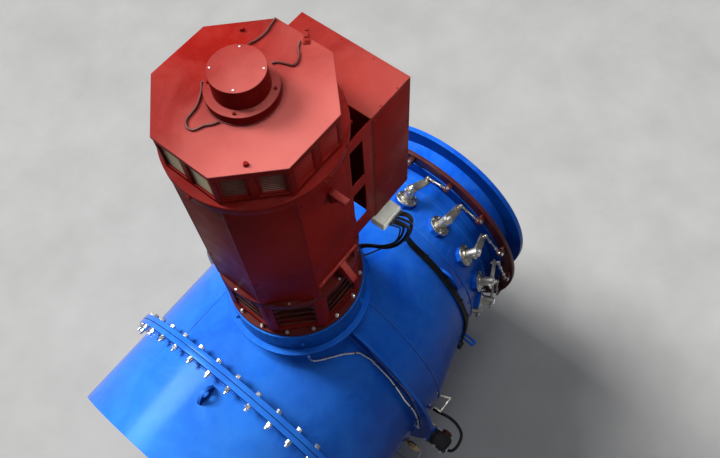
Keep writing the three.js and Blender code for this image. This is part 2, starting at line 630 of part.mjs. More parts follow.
// Leads across the lid
const at = (x, y, z) => new THREE.Vector3(x, y, z);
const LEAD = 10;
const leadZ = LEAD / 2 + 0.6;
const lead = (pairs) => pairs.map(([x, y]) => at(x, y, leadZ));
addPart(generator, 'far_lead', tube(lead([
  [116, 96], [148, 122], [180, 141], [211, 132], [245, 127], [276, 128], [308, 136], [342, 143],
]), LEAD, 8, 16), 'maroon');
addPart(generator, 'right_lead', tube(lead([
  [152, 8], [166, 7], [183, -6], [196, -35], [207, -65], [232, -68], [257, -53], [286, -22], [312, -9],
]), LEAD, 8, 24), 'maroon');
addPart(generator, 'left_lead', tube(lead([
  [-44, 146], [-60, 158], [-88, 134], [-152, 98], [-220, 84], [-240, 60], [-234, 34], [-196, 16], [-177, -2],
  [-152, -16],
]), LEAD, 8, 30), 'maroon');
const clamp = placed(block([-40, -13.5, JOINT_GAP], [40, 13.5, 12]), new THREE.Matrix4().makeRotationZ(radians(40)));
addPart(generator, 'lead_clamp', clamp.translate([348.5, -12, 0]), 'red');

// Cables that hang from the junction box to the drum of the pedestal
addPart(generator, 'thick_cable', tube([
  at(418, -374.5, -1205), at(418, -394, -1205), at(440, -426, -1240), at(472, -438, -1320), at(486, -426, -1410),
  at(479, -407, -1500),
  at(460, -366, -1600), at(439, -302, -1680), at(415, -220, -1724), at(391, -178, -1744), at(361.4, -164.6, -1748),
], 20, 10, 24), 'black');
addPart(generator, 'thin_cable', tube([
  at(385, -374.5, -1205), at(385, -390, -1205), at(404, -404, -1236), at(444, -402, -1320), at(462, -390, -1410),
  at(460, -378, -1500),
  at(443, -346, -1600), at(416, -290, -1672), at(372, -256, -1696), at(328.5, -226, -1703),
], 9, 8, 24), 'black');

export default unit;
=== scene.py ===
"""Looks for the bulb turbine: paint, fasteners, louvres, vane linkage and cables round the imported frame."""
import math
import random

import bmesh
import bpy
import numpy as np
from mathutils import Matrix, Vector


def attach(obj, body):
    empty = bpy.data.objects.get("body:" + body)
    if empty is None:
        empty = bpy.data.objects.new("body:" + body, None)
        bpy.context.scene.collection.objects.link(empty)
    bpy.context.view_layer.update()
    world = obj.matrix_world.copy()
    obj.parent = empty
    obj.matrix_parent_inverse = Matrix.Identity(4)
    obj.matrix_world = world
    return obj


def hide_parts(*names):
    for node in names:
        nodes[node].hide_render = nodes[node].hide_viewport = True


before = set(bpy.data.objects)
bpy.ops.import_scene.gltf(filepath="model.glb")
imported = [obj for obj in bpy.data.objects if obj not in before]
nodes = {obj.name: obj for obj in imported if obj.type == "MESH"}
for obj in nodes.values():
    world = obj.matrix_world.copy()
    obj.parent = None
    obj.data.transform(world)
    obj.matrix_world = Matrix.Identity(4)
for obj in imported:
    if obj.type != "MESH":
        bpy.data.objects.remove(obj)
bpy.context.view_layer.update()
random.seed(7)

# Millimetres here, in two local frames; every mesh is scaled to metres when it is made.
# In the casing's frame X runs downstream along its axis. The generator's frame starts on its lid, with Z up.
MM = 0.001
CASING = Matrix.Translation((-120, 90, 1300))
GENERATOR = Matrix.Translation((-120, 90, 4210))
UNIT = "unit"
RING = "regulating_ring"
VANES = 16
INNER, OUTER, FLANGE = 897, 915, 1000
WALL = OUTER - INNER
INLET_END, FLANGE_NEAR, FLANGE_FAR = -1260, -699, -631
TAPER_START, TAPER_END, CONE_END = 230, 860, 1115
TAPER_SLOPE = math.radians(15)
SADDLES = (-430, 560)
FLOOR = -1260
UP = (0, 0, 1)


# Frames and angles

def move(x, y, z):
    return Matrix.Translation((x, y, z))


def spin(axis, degrees):
    return Matrix.Rotation(math.radians(degrees), 4, axis)


def axes(x, y, z, at=(0, 0, 0)):
    """A frame at a point, from its three axes."""
    return Matrix.Translation(at) @ Matrix((x, y, z)).transposed().to_4x4()


def stand(point, axis, turn=0.0):
    """A frame whose Z runs along axis."""
    z = Vector(axis).normalized()
    x = z.orthogonal().normalized()
    return axes(x, z.cross(x), z, point) @ Matrix.Rotation(turn, 4, "Z")


def angles(count):
    return [2 * math.pi * k / count for k in range(count)]


def polar(radius, angle, height=0.0):
    return radius * math.cos(angle), radius * math.sin(angle), height


def around(x, radius, degrees):
    """A point about the casing axis; 0 degrees is on top and the near side is negative."""
    a = math.radians(degrees)
    return Vector((x, radius * math.sin(a), radius * math.cos(a)))


def radial(degrees):
    return around(0, 1, degrees)


def cone_radius(x):
    """The casing's outside radius: the barrel's, then the taper's."""
    return OUTER - (x - TAPER_START) * math.tan(TAPER_SLOPE) if x > TAPER_START else float(OUTER)


def on_casing(x, degrees, lift):
    return around(x, cone_radius(x) + lift, degrees)


def surface_frame(x, degrees, lift):
    """A frame above the casing's surface, with X along its axis and Z outward."""
    out = radial(degrees)
    along = Vector((1, 0, 0))
    return axes(along, along.cross(out), out, on_casing(x, degrees, lift))


# Camera at the photograph's viewpoint

def make_camera():
    focal, width = 758.2, 720
    data = bpy.data.cameras.new("view")
    data.sensor_width = 36
    data.lens = data.sensor_width * focal / width
    camera = bpy.data.objects.new("view", data)
    right = Vector((0.6219145, -0.78206998, -0.03986109))
    down = Vector((-0.70925161, -0.54096976, -0.45201093))
    forward = Vector((0.33194053, 0.30938369, -0.89112132))
    camera.matrix_world = axes(right, -down, -forward, (-1.1454, -1.3938, 6.4788))
    bpy.context.scene.collection.objects.link(camera)
    bpy.context.scene.camera = camera


make_camera()


# Materials

class Nodes:
    """A small helper to lay out one node material."""

    def __init__(self, name, metallic=0.0, specular=0.5):
        self.material = bpy.data.materials.new(name)
        self.material.use_nodes = True
        self.tree = self.material.node_tree
        self.shader = next(n for n in self.tree.nodes if n.type == "BSDF_PRINCIPLED")
        self.fill(self.shader, {"Metallic": metallic, "Specular IOR Level": specular})
        self.position = self.node("TexCoord", {}).outputs["Object"]

    def fill(self, node, inputs):
        """Links each input to another node's output, or sets it to a colour or a number."""
        for name, value in inputs.items():
            socket = node.inputs[name]
            if hasattr(value, "is_linked"):
                self.tree.links.new(value, socket)
            else:
                socket.default_value = (*value, 1) if socket.type == "RGBA" else value

    def node(self, kind, inputs):
        node = self.tree.nodes.new("ShaderNode" + kind)
        self.fill(node, inputs)
        return node

    def scaled(self, factors):
        return self.node("Mapping", {"Vector": self.position, "Scale": factors}).outputs["Vector"]

    def noise(self, scale, detail, roughness, vector=None, distortion=0.0):
        inputs = {"Scale": scale, "Detail": detail, "Roughness": roughness, "Distortion": distortion}
        inputs["Vector"] = self.position if vector is None else vector
        return self.node("TexNoise", inputs).outputs["Fac"]

    def span(self, value, low, high, out_low=0.0, out_high=1.0):
        return self.node("MapRange", {"Value": value, "From Min": low, "From Max": high, "To Min": out_low,
                                      "To Max": out_high}).outputs["Result"]

    def mix(self, factor, a, b):
        node = self.node("Mix", {})
        node.data_type = "RGBA"
        self.fill(node, {"Factor": factor, "A": a, "B": b})
        return node.outputs["Result"]

    def plus(self, a, b):
        return self.node("Math", {0: a, 1: b}).outputs[0]

    def times(self, a, b):
        node = self.node("Math", {0: a, 1: b})
        node.operation = "MULTIPLY"
        return node.outputs[0]

    def along(self, direction):
        """How far a point lies in one direction, in metres."""
        node = self.node("VectorMath", {0: self.position, 1: direction})
        node.operation = "DOT_PRODUCT"
        return node.outputs["Value"]

    def upward(self):
        """1 on a face that looks straight up, 0 on an upright face or below."""
        normal = self.node("NewGeometry", {}).outputs["Normal"]
        return self.span(self.node("SeparateXYZ", {0: normal}).outputs["Z"], 0.15, 0.95)

    def bump(self, height, strength, distance):
        node = self.node("Bump", {"Strength": strength, "Distance": distance, "Height": height})
        self.fill(self.shader, {"Normal": node.outputs["Normal"]})

    def finish(self, color, roughness):
        self.fill(self.shader, {"Base Color": color, "Roughness": roughness})
        return self.material


def paint(name, light, dark, dust, roughness, dust_and_sheen_amount, peel, specular=0.25, streak=None, painted_wall_light=0.6,
          dust_and_light_film=None, tint=None, matt=0.22):
    """Brushed or sprayed paint: cloudy colour, grime, dust on top, specks and orange peel.

    painted_wall_light is the share of its colour that an upright face keeps, the rest being painted shade,
    and matt how much dust dulls the gloss. dust_and_light_film is an even layer on faces that look up, partly
    dust and partly painted light: its amount, the direction it grows in, and where along that direction it
    starts and is full. dust is the colour on top: real dust on most paints, a painted sky sheen on the blue
    enamel and its welds.
    """
    n = Nodes(name, specular=specular)
    clouds = n.noise(2.2, 5, 0.6)
    color = n.mix(n.span(clouds, 0.35, 0.68), dark, light)
    # Darker bands round the casing: partly stains, partly painted reflections of dark surroundings.
    if streak:
        stains_and_dark_reflections = n.noise(1.0, 6, 0.6, n.scaled(streak))
        color = n.mix(n.span(stains_and_dark_reflections, 0.48, 0.7, 0, 0.55), color, dark)
    grime = n.noise(11, 8, 0.7, distortion=0.6)
    color = n.mix(n.span(grime, 0.56, 0.8, 0, 0.35), color, tuple(c * 0.45 for c in dark))
    up = n.upward()
    # Painted shade: an upright face keeps only the share painted_wall_light of its colour; the rest goes to
    # black.
    color = n.mix(n.span(up, 0, 1, 1 - painted_wall_light, 0), color, (0, 0, 0))
    # A layer that grows lighter in one direction on faces that look up: partly dust, partly painted light.
    if dust_and_light_film:
        amount, direction, start, end = dust_and_light_film
        film = n.plus(n.along(direction), n.span(n.noise(1.8, 3, 0.5), 0.3, 0.7, -0.12, 0.12))
        color = n.mix(n.times(n.span(film, start, end, 0, amount), up), color, dust)
    # Dust on faces that look up; on the blue its light cyan colour is a painted sky sheen.
    cover = n.times(n.span(n.noise(3.4, 7, 0.65, distortion=1.2), 0.36, 0.72), up)
    color = n.mix(n.times(cover, dust_and_sheen_amount), color, dust)
    specks = n.span(n.noise(95, 2, 0.5), 0.73, 0.77)
    color = n.mix(n.times(specks, 0.35), color, dust)
    rough = n.span(n.noise(7, 5, 0.6), 0.3, 0.75, roughness * 0.8, roughness * 1.3)
    rough = n.plus(rough, n.times(cover, matt))
    if tint:
        n.fill(n.shader, {"Specular Tint": tint})
    n.bump(n.plus(n.noise(210, 2, 0.5), n.times(n.noise(38, 2, 0.5), 0.7)), peel, 0.0006)
    return n.finish(color, rough)


def metal(name, light, dark, roughness, scale, streak=None, rust=0.0):
    """Bare or plated metal with turned or rolled marks and stains."""
    n = Nodes(name, metallic=1.0)
    clouds = n.noise(scale * 0.3, 5, 0.6)
    color = n.mix(n.span(clouds, 0.32, 0.7), dark, light)
    if rust:
        spots = n.span(n.noise(scale * 0.7, 8, 0.75), 0.6, 0.68, 0, rust)
        color = n.mix(spots, color, (0.12, 0.05, 0.025))
    marks = n.noise(scale, 4, 0.6, n.scaled(streak) if streak else None)
    n.bump(marks, 0.18, 0.0005)
    return n.finish(color, n.span(marks, 0.3, 0.7, roughness * 0.75, roughness * 1.35))


def plastic(name, light, dark, roughness, scale, dust, specular=0.4):
    """Plastic, rubber or plain paint with a little dust on top."""
    n = Nodes(name, specular=specular)
    color = n.mix(n.span(n.noise(scale, 5, 0.6), 0.35, 0.7), dark, light)
    cover = n.times(n.span(n.noise(6, 6, 0.7), 0.35, 0.7), n.upward())
    color = n.mix(n.times(cover, dust), color, (0.28, 0.27, 0.25))
    n.bump(n.noise(scale * 12, 3, 0.5), 0.15, 0.0004)
    return n.finish(color, n.span(n.noise(scale, 4, 0.6), 0.3, 0.7, roughness * 0.85, roughness * 1.2))


# Every paint here darkens its upright faces as painted shade, to the share painted_wall_light (0.6 unless
# given).
OXIDE = ((0.24, 0.009, 0.006), (0.15, 0.005, 0.004))
SHEET = {"peel": 0.1, "specular": 0.02, "painted_wall_light": 0.52}
# Blue enamel with painted light: a cyan top for sky reflection, a layer lighter upstream towards the lit
# side, upright faces kept at 35% as painted shade, bands partly painted reflections.
BLUE = paint("blue_enamel", (0.008, 0.17, 0.93), (0.004, 0.085, 0.64), (0.075, 0.35, 0.93), 0.17, 0.3,
             peel=0.16, specular=0.09, streak=(2.6, 0.3, 0.3), painted_wall_light=0.35, tint=(0.35, 0.75, 1), matt=0.12,
             dust_and_light_film=(0.34, (-1, 0, 0), -0.4, 1.2))
# The weld beads take the same painted cyan sheen on top and keep 40% of their colour on upright faces,
# painted shade.
BLUE_WELD = paint("blue_weld", (0.03, 0.24, 0.95), (0.012, 0.12, 0.7), (0.1, 0.36, 0.9), 0.35, 0.25, peel=0.8,
                  painted_wall_light=0.4)
# Red sheet paint; on the lid, its cap and the terminal box a layer grows lighter towards the near side,
# partly dust and partly painted sheen.
RED = paint("red_oxide_paint", *OXIDE, (0.5, 0.14, 0.12), 0.4, 0.16, **SHEET)
RED_TOP = paint("red_paint_dust_and_sheen", *OXIDE, (0.62, 0.17, 0.15), 0.4, 0.16,
                dust_and_light_film=(0.86, (0, -1, 0), -0.25, 0.38), **SHEET)
RED_BOX = paint("box_paint_dust_and_sheen", *OXIDE, (0.5, 0.13, 0.11), 0.4, 0.16,
                dust_and_light_film=(0.5, (0, -1, 0), -0.25, 0.38), **SHEET)
# Lighter red with heavy dust on top; on the brackets and the recess lip its light tops are partly painted
# light caught from above.
RED_DUST_AND_LIGHT = paint("red_paint_dust_and_light", (0.3, 0.018, 0.012), (0.2, 0.01, 0.007), (0.42, 0.11, 0.1), 0.42, 0.8,
                  peel=0.1, specular=0.03)
# A darker copy of the red for the lower ledge and base flange: painted shadow of the housing above them.
RED_SHADED_LEDGE = paint("ledge_red_painted_shadow", (0.14, 0.012, 0.009), (0.07, 0.006, 0.005), (0.26, 0.11, 0.1), 0.42,
                  0.3, peel=0.15, specular=0.03, painted_wall_light=0.5)
RED_WELD = paint("red_weld", (0.17, 0.01, 0.008), (0.1, 0.006, 0.005), (0.36, 0.09, 0.07), 0.45, 0.35,
                 peel=0.8)
RED_BROWN = paint("brown_guard", (0.1, 0.016, 0.009), (0.04, 0.006, 0.004), (0.28, 0.13, 0.1), 0.45, 0.35,
                  peel=0.3)
MAROON = paint("maroon_paint", (0.11, 0.01, 0.009), (0.05, 0.005, 0.005), (0.2, 0.09, 0.08), 0.42, 0.3,
               peel=0.2)
LEAD_PAINT = paint("painted_lead", (0.12, 0.011, 0.009), (0.05, 0.004, 0.004), (0.36, 0.18, 0.16), 0.35, 0.5,
                   peel=0.2)
BEIGE = paint("beige_louvre", (0.32, 0.27, 0.16), (0.18, 0.14, 0.08), (0.36, 0.33, 0.26), 0.4, 0.3, peel=0.1)
DUSTY = paint("dusty_louvre", (0.18, 0.05, 0.035), (0.1, 0.02, 0.014), (0.42, 0.22, 0.16), 0.4, 0.6, peel=0.2)
ZINC = metal("zinc_plate", (0.86, 0.87, 0.88), (0.6, 0.61, 0.62), 0.3, 80, rust=0.05)
STEEL = metal("turned_steel", (0.58, 0.56, 0.51), (0.34, 0.32, 0.28), 0.4, 50, streak=(1, 1, 6), rust=0.3)
CAST = metal("plated_lever", (0.62, 0.59, 0.53), (0.42, 0.4, 0.35), 0.5, 40, rust=0.25)
BRASS = metal("brass", (0.5, 0.37, 0.18), (0.32, 0.22, 0.1), 0.42, 60)
RUBBER = plastic("black_sheath", (0.009, 0.01, 0.013), (0.004, 0.004, 0.006), 0.5, 40, 0.03, 0.2)
GREY_BOX = plastic("grey_box_paint", (0.8, 0.84, 0.76), (0.66, 0.7, 0.64), 0.42, 14, 0.1)
GLAND = plastic("dark_gland", (0.05, 0.05, 0.055), (0.025, 0.025, 0.03), 0.4, 40, 0.2)
GASKET = plastic("gasket", (0.003, 0.008, 0.05), (0.002, 0.005, 0.03), 0.7, 60, 0, 0.1)
# Near black for the gaps round covers, and as painted shade behind the louvres and in a recess.
DARK = plastic("dark_gaps_and_painted_shade", (0.012, 0.007, 0.006), (0.005, 0.003, 0.003), 0.8, 20, 0.15)


# Mesh code: a form is a list of points and a list of faces

class Shape:
    """Collects many small forms into one mesh."""

    def __init__(self, *forms):
        self.points = []
        self.faces = []
        for form in forms:
            self.add(form)

    def add(self, form, matrix=None):
        points, faces = form
        start = len(self.points)
        if matrix is not None:
            points = [matrix @ Vector(p) for p in points]
        self.points.extend(points)
        flip = matrix is not None and matrix.to_3x3().determinant() < 0
        for face in faces:
            ids = [start + i for i in face]
            self.faces.append(ids[::-1] if flip else ids)

    def make(self, name, material, place=CASING, angle=30, body=UNIT, slot=None, replaces=()):
        """Edges sharper than the angle, in degrees, stay sharp."""
        mesh = bpy.data.meshes.new(name)
        metres = Matrix.Scale(MM, 4) @ place
        mesh.from_pydata([metres @ Vector(p) for p in self.points], [], self.faces)
        mesh.update()
        dress(mesh, name, material, body, angle, replaces)

    def instead_of(self, node, material, place=CASING, angle=30, body=UNIT, slot=None):
        """The mesh stands for a CAD node."""
        self.make(node + "_finished", material, place, angle, body, slot, (node,))


def dress(mesh, name, material, body, angle, replaces):
    mesh.materials.clear()
    mesh.materials.append(material)
    mesh.shade_smooth()
    mesh.set_sharp_from_angle(angle=math.radians(angle))
    piece = bpy.data.objects.new(name, mesh)
    bpy.context.scene.collection.objects.link(piece)
    if replaces:
        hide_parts(*replaces)
    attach(piece, body)


def shell(node, material, edge):
    """The CAD node with clean faces and small rounded edges, standing for it."""
    weld, flat, sharp_from, smooth = 0.00003, 0.6, 28, 32
    bm = bmesh.new()
    bm.from_mesh(nodes[node].data)
    bmesh.ops.remove_doubles(bm, verts=bm.verts[:], dist=weld)
    bmesh.ops.dissolve_limit(bm, angle_limit=math.radians(flat), verts=bm.verts[:], edges=bm.edges[:])
    sharp = [e for e in bm.edges
             if len(e.link_faces) == 2 and e.calc_face_angle() > math.radians(sharp_from)]
    bmesh.ops.bevel(bm, geom=sharp, offset=edge * MM, segments=2, affect="EDGES", profile=0.5,
                    clamp_overlap=True)
    bmesh.ops.triangulate(bm, faces=[f for f in bm.faces if len(f.verts) > 4])
    mesh = bpy.data.meshes.new(node + "_finished")
    bm.to_mesh(mesh)
    bm.free()
    dress(mesh, node + "_finished", material, UNIT, smooth, (node,))


def repaint(node, material):
    """A CAD node that keeps its own shape takes a better material."""
    mesh = nodes[node].data
    mesh.materials.clear()
    mesh.materials.append(material)
    for polygon in mesh.polygons:
        polygon.material_index = 0


def moved(form, matrix):
    points, faces = form
    return [matrix @ Vector(p) for p in points], faces


def lathe(profile, sides, closed=False):
    """Turns [radius, height] points about Z; a point on the axis becomes one vertex."""
    points, rings = [], []
    for radius, height in profile:
        if radius < 1e-6:
            rings.append([len(points)])
            points.append((0, 0, height))
            continue
        rings.append(list(range(len(points), len(points) + sides)))
        points.extend(polar(radius, a, height) for a in angles(sides))
    pairs = list(zip(rings, rings[1:]))
    if closed:
        pairs.append((rings[-1], rings[0]))
    faces = []
    for low, high in pairs:
        for k in range(sides):
            j = (k + 1) % sides
            if len(low) == 1:
                faces.append((low[0], high[j], high[k]))
            elif len(high) == 1:
                faces.append((low[k], low[j], high[0]))
            else:
                faces.append((low[k], low[j], high[j], high[k]))
    return points, faces


def rounded(profile, radius, steps=2, closed=False):
    """The same profile with its corners rounded."""
    straight = 0.999
    out = []
    count = len(profile)
    for i, point in enumerate(profile):
        ends = not closed and i in (0, count - 1)
        if ends or point[0] < 1e-6:
            out.append(point)
            continue
        here = Vector(point)
        before = Vector(profile[i - 1]) - here
        after = Vector(profile[(i + 1) % count]) - here
        reach = min(radius, before.length * 0.45, after.length * 0.45)
        if reach < 1e-4 or abs(before.normalized().dot(after.normalized())) > straight:
            out.append(point)
            continue
        a = here + before.normalized() * reach
        b = here + after.normalized() * reach
        for k in range(steps + 1):
            t = k / steps
            out.append(tuple((1 - t) ** 2 * a + 2 * t * (1 - t) * here + t * t * b))
    return out


def turned(profile, corner, sides, steps=2):
    return lathe(rounded(profile, corner, steps), sides)


def disc(radius, low, high, corner, sides, top=None, steps=2):
    """A disc about Z with a rounded rim; its middle may lie higher than its edge."""
    top = high if top is None else top
    return turned([(0, low), (radius, low), (radius, high), (0, top)], corner, sides, steps)


def screw(radius, side, top, corner=0.8, sides=12):
    return disc(radius, 0, side, corner, sides, top)


def sleeve(inner, outer, low, high, corner, sides):
    """A ring about Z with rounded edges."""
    profile = [(inner, low), (outer, low), (outer, high), (inner, high)]
    return lathe(rounded(profile, corner, 2, True), sides, True)


def about_x(profile, sides=160, closed=True, edge=1.5):
    """A casing form: [radius, distance downstream] points turned about the casing axis."""
    if edge:
        profile = rounded(profile, edge, 2, closed)
    return moved(lathe(profile, sides, closed), axes((0, 0, -1), (0, 1, 0), (1, 0, 0)))


def slab(low, high, edge=0.0, steps=2):
    """A box with rounded edges."""
    bm = bmesh.new()
    bmesh.ops.create_cube(bm, size=1)
    size = [h - l for l, h in zip(low, high)]
    middle = [(h + l) / 2 for l, h in zip(low, high)]
    for v in bm.verts:
        v.co = Vector([c * s + m for c, s, m in zip(v.co, size, middle)])
    if edge:
        bmesh.ops.bevel(bm, geom=bm.edges[:], offset=min(edge, min(size) * 0.45), segments=steps,
                        affect="EDGES", profile=0.5)
    bm.verts.index_update()
    form = [tuple(v.co) for v in bm.verts], [[v.index for v in f.verts] for f in bm.faces]
    bm.free()
    return form


def plate(outline, thick, edge, holes=()):
    """An outline in XY extruded along Z; holes are (x, y, radius, how many times as long in x)."""
    curve = bpy.data.curves.new("outline", "CURVE")
    curve.dimensions = "2D"
    curve.fill_mode = "BOTH"
    loops = [outline]
    for x, y, radius, longer in holes:
        loops.append([(x + radius * longer * math.cos(a), y + radius * math.sin(a)) for a in angles(24)])
    for loop in loops:
        line = curve.splines.new("POLY")
        line.points.add(len(loop) - 1)
        for point, (x, y) in zip(line.points, loop):
            point.co = (x, y, 0, 1)
        line.use_cyclic_u = True
    edge = min(edge, thick * 0.45)
    curve.extrude = thick / 2 - edge
    curve.bevel_depth = edge
    curve.bevel_resolution = 1
    curve.offset = -edge
    holder = bpy.data.objects.new("outline", curve)
    bpy.context.scene.collection.objects.link(holder)
    bpy.context.view_layer.update()
    mesh = bpy.data.meshes.new_from_object(holder)
    form = [tuple(v.co) for v in mesh.vertices], [list(p.vertices) for p in mesh.polygons]
    bpy.data.objects.remove(holder)
    bpy.data.curves.remove(curve)
    bpy.data.meshes.remove(mesh)
    return form


def skin(rows, sides, ends=True, inward=False):
    """Faces that join rings of points into a tube, with its end caps."""
    faces = []
    for i in range(rows - 1):
        for k in range(sides):
            j = (k + 1) % sides
            a, b, c, d = i * sides + k, i * sides + j, (i + 1) * sides + j, (i + 1) * sides + k
            faces.append((a, d, c, b) if inward else (a, b, c, d))
    if ends:
        first = list(range(sides))
        last = [(rows - 1) * sides + k for k in first]
        faces += [first, last[::-1]] if inward else [first[::-1], last]
    return faces


def sweep(path, radii, sides):
    """Rings of points along a path, in frames that don't twist."""
    path = [Vector(p) for p in path]
    points = []
    for i, (point, r) in enumerate(zip(path, radii)):
        tangent = (path[min(i + 1, len(path) - 1)] - path[max(i - 1, 0)]).normalized()
        if i:
            side = (side - tangent * side.dot(tangent)).normalized()
        else:
            side = tangent.orthogonal().normalized()
        up = tangent.cross(side)
        points.extend(tuple(point + side * r * math.cos(a) + up * r * math.sin(a)) for a in angles(sides))
    return points


def spline(points, spacing=8.0):
    """Centripetal curve through the points, sampled about every few millimetres."""
    p = [Vector(q) for q in points]
    p = [p[0] * 2 - p[1], *p, p[-1] * 2 - p[-2]]
    out = []
    for i in range(1, len(p) - 2):
        a, b, c, d = p[i - 1:i + 3]
        t1 = (b - a).length ** 0.5
        t2 = t1 + (c - b).length ** 0.5
        t3 = t2 + (d - c).length ** 0.5
        count = max(2, int((c - b).length / spacing))
        for k in range(count):
            t = t1 + (t2 - t1) * k / count
            middle = between(b, c, t1, t2, t)
            before = between(between(a, b, 0, t1, t), middle, 0, t2, t)
            after = between(middle, between(c, d, t2, t3, t), t1, t3, t)
            out.append(between(before, after, t1, t2, t))
    out.append(p[-2])
    return out


def between(a, b, start, end, t):
    return a * ((end - t) / (end - start)) + b * ((t - start) / (end - start))


def rod(path, radius, sides):
    return sweep(path, [radius] * len(path), sides), skin(len(path), sides)


def hose(points, radius, sides, spacing=8.0):
    return rod(spline(points, spacing), radius, sides)


def bead(path, radius):
    """A weld bead with its ripples along a path of points."""
    sides, ripple, ripple_step, uneven = 8, 0.12, 2.1, 0.05
    radii = [radius * (1 + ripple * math.sin(i * ripple_step) + random.uniform(-uneven, uneven))
             for i in range(len(path))]
    return sweep(path, radii, sides), skin(len(path), sides, ends=False)


def ring_bead(x, radius, size, start=0.0, end=360.0):
    step = 0.55
    count = int((end - start) / step)
    return bead([around(x, radius, start + (end - start) * k / count) for k in range(count + 1)], size)


# Fasteners

WASHER, NUT, HEAD = 0.12, 0.8, 0.64


def hexagon(across, height):
    """A hexagon head or nut with a turned chamfer."""
    tip = across / math.sqrt(3)
    c = across * 0.12
    return lathe([(0, 0), (tip, 0), (tip, height - c * 0.6), (tip - c, height), (0, height)], 6)


def washer(across):
    return disc(across * 0.62, 0, across * WASHER, 0.4, 20, steps=1)


def nut_and_stud(shape, seat, across, stud):
    """A nut on its washer with the stud's end showing."""
    base = across * WASHER
    top = base + across * NUT
    end = top + across * stud
    r = across * 0.32
    shape.add(washer(across), seat)
    shape.add(hexagon(across, across * NUT), seat @ move(0, 0, base))
    shape.add(lathe([(r, top - 1), (r, end - 1), (r - 1, end), (0, end)], 12), seat)


def bolt_head(shape, seat, across):
    shape.add(washer(across), seat)
    shape.add(hexagon(across, across * HEAD), seat @ move(0, 0, across * WASHER))


# Casing: shells with their lugs, weld seams, bolts and saddles

LUG_START, LUG_END = -875, -740


def casing_shells():
    pipe = [(INNER, INLET_END), (OUTER, INLET_END), (OUTER, FLANGE_NEAR), (FLANGE, FLANGE_NEAR),
            (FLANGE, -665.15), (INNER, -665.15)]
    Shape(about_x(pipe), inlet_lug()).instead_of("inlet_pipe", BLUE)
    barrel = [(INNER, -664.85), (FLANGE, -664.85), (FLANGE, FLANGE_FAR), (OUTER, FLANGE_FAR),
              (OUTER, TAPER_START), (INNER, TAPER_START)]
    Shape(about_x(barrel)).instead_of("barrel", BLUE)
    start, end = TAPER_START + 0.3, TAPER_END
    taper = [(cone_radius(start) - WALL, start), (cone_radius(start), start), (cone_radius(end), end),
             (cone_radius(end) - WALL, end)]
    Shape(about_x(taper), cross_lug(), side_lug()).instead_of("taper_cone", BLUE)
    start = cone_radius(CONE_END)
    chamber = [(start - WALL, CONE_END + 0.3), (start, CONE_END + 0.3), (640, 1190), (640, 1244),
               (744.05, 1244), (744.05, 1284), (640, 1284), (640, 1464), (760, 1464), (760, 1500),
               (620, 1500), (620, 1190)]
    Shape(about_x(chamber)).instead_of("runner_chamber", BLUE)
    for node in ("guide_cone", "pedestal", "gear_bulb", "stiffening_rib"):
        repaint(node, BLUE)


def inlet_lug():
    """A rounded lifting plate in line with the casing axis, with its eye."""
    outline = []
    for k in range(25):
        t = k / 24
        outline.append((LUG_START + (LUG_END - LUG_START) * t, 905 + 85 * math.sin(math.pi * t) ** 0.6))
    outline += [(LUG_END, 900), (LUG_START, 900)]
    form = plate(outline[::-1], 24, 2.5, (((LUG_START + LUG_END) / 2, 958, 24, 1),))
    return moved(form, spin("X", -2) @ axes((1, 0, 0), (0, 0, 1), (0, -1, 0)))


def cross_lug():
    """The lifting plate that stands across the taper, with its long eye."""
    x, half_angle = 774, 8.5
    root = cone_radius(784)
    outline = []
    for k in range(21):
        t = -1 + k / 10
        rise = root + 60 * (1 - abs(t) ** 3)
        a = math.radians(half_angle * t)
        outline.append((rise * math.sin(a), rise * math.cos(a)))
    outline.append((0, root - 12))
    form = plate(outline[::-1], 20, 2.5, ((0, root + 30, 14, 3),))
    return moved(form, spin("X", 48) @ axes((0, 1, 0), (0, 0, 1), (1, 0, 0), (x, 0, 0)))


def side_lug():
    """The lug that reaches out low on the taper."""
    x = 732
    root, tip = cone_radius(x) - 10, cone_radius(x) + 118
    outline = [(root, -23), (tip - 14, -23), (tip - 4, -19), (tip, -9), (tip, 9), (tip - 4, 19),
               (tip - 14, 23), (root, 23)]
    form = plate(outline, 18, 3, ((tip - 56.6, 0, 10.4, 3.9),))
    return moved(form, spin("X", 100) @ axes((0, 0, 1), (1, 0, 0), (0, 1, 0), (x, 0, 0)))


def casing_welds():
    seams = Shape()
    for x in (FLANGE_NEAR - 2, FLANGE_FAR + 2):
        seams.add(ring_bead(x, OUTER + 2, 7))
    for x in (TAPER_START, TAPER_END, CONE_END):
        seams.add(ring_bead(x, cone_radius(x) + 0.5, 4.5))
    seams.add(ring_bead(SADDLES[0], OUTER + 0.3, 3.5, 96, 264))
    for x in (-12, 10):
        seams.add(ring_bead(x, OUTER + 2, 5, 24, 336))
    for angle, start, end, size in ((28, -628, -12, 3.2), (-128, -628, -12, 3.8), (128, 232, 858, 3.8)):
        seams.add(bead([on_casing(x, angle, 0.5) for x in np.linspace(start, end, 160)], size))
    neck = []
    for k in range(281):
        x, y, _ = polar(352, 2 * math.pi * k / 280)
        neck.append((x, y, math.sqrt((OUTER + 2) ** 2 - y * y)))
    seams.add(bead(neck, 5.5))
    foot = [around(LUG_START + (LUG_END - LUG_START) * k / 59, OUTER + 2, 2.85) for k in range(60)]
    seams.add(bead(foot, 4))
    seams.make("weld_seams", BLUE_WELD, angle=60)
    gasket = about_x([(990, -667.2), (1000.6, -667.2), (1000.6, -662.8), (990, -662.8)], edge=0)
    Shape(gasket).make("flange_gasket", GASKET)


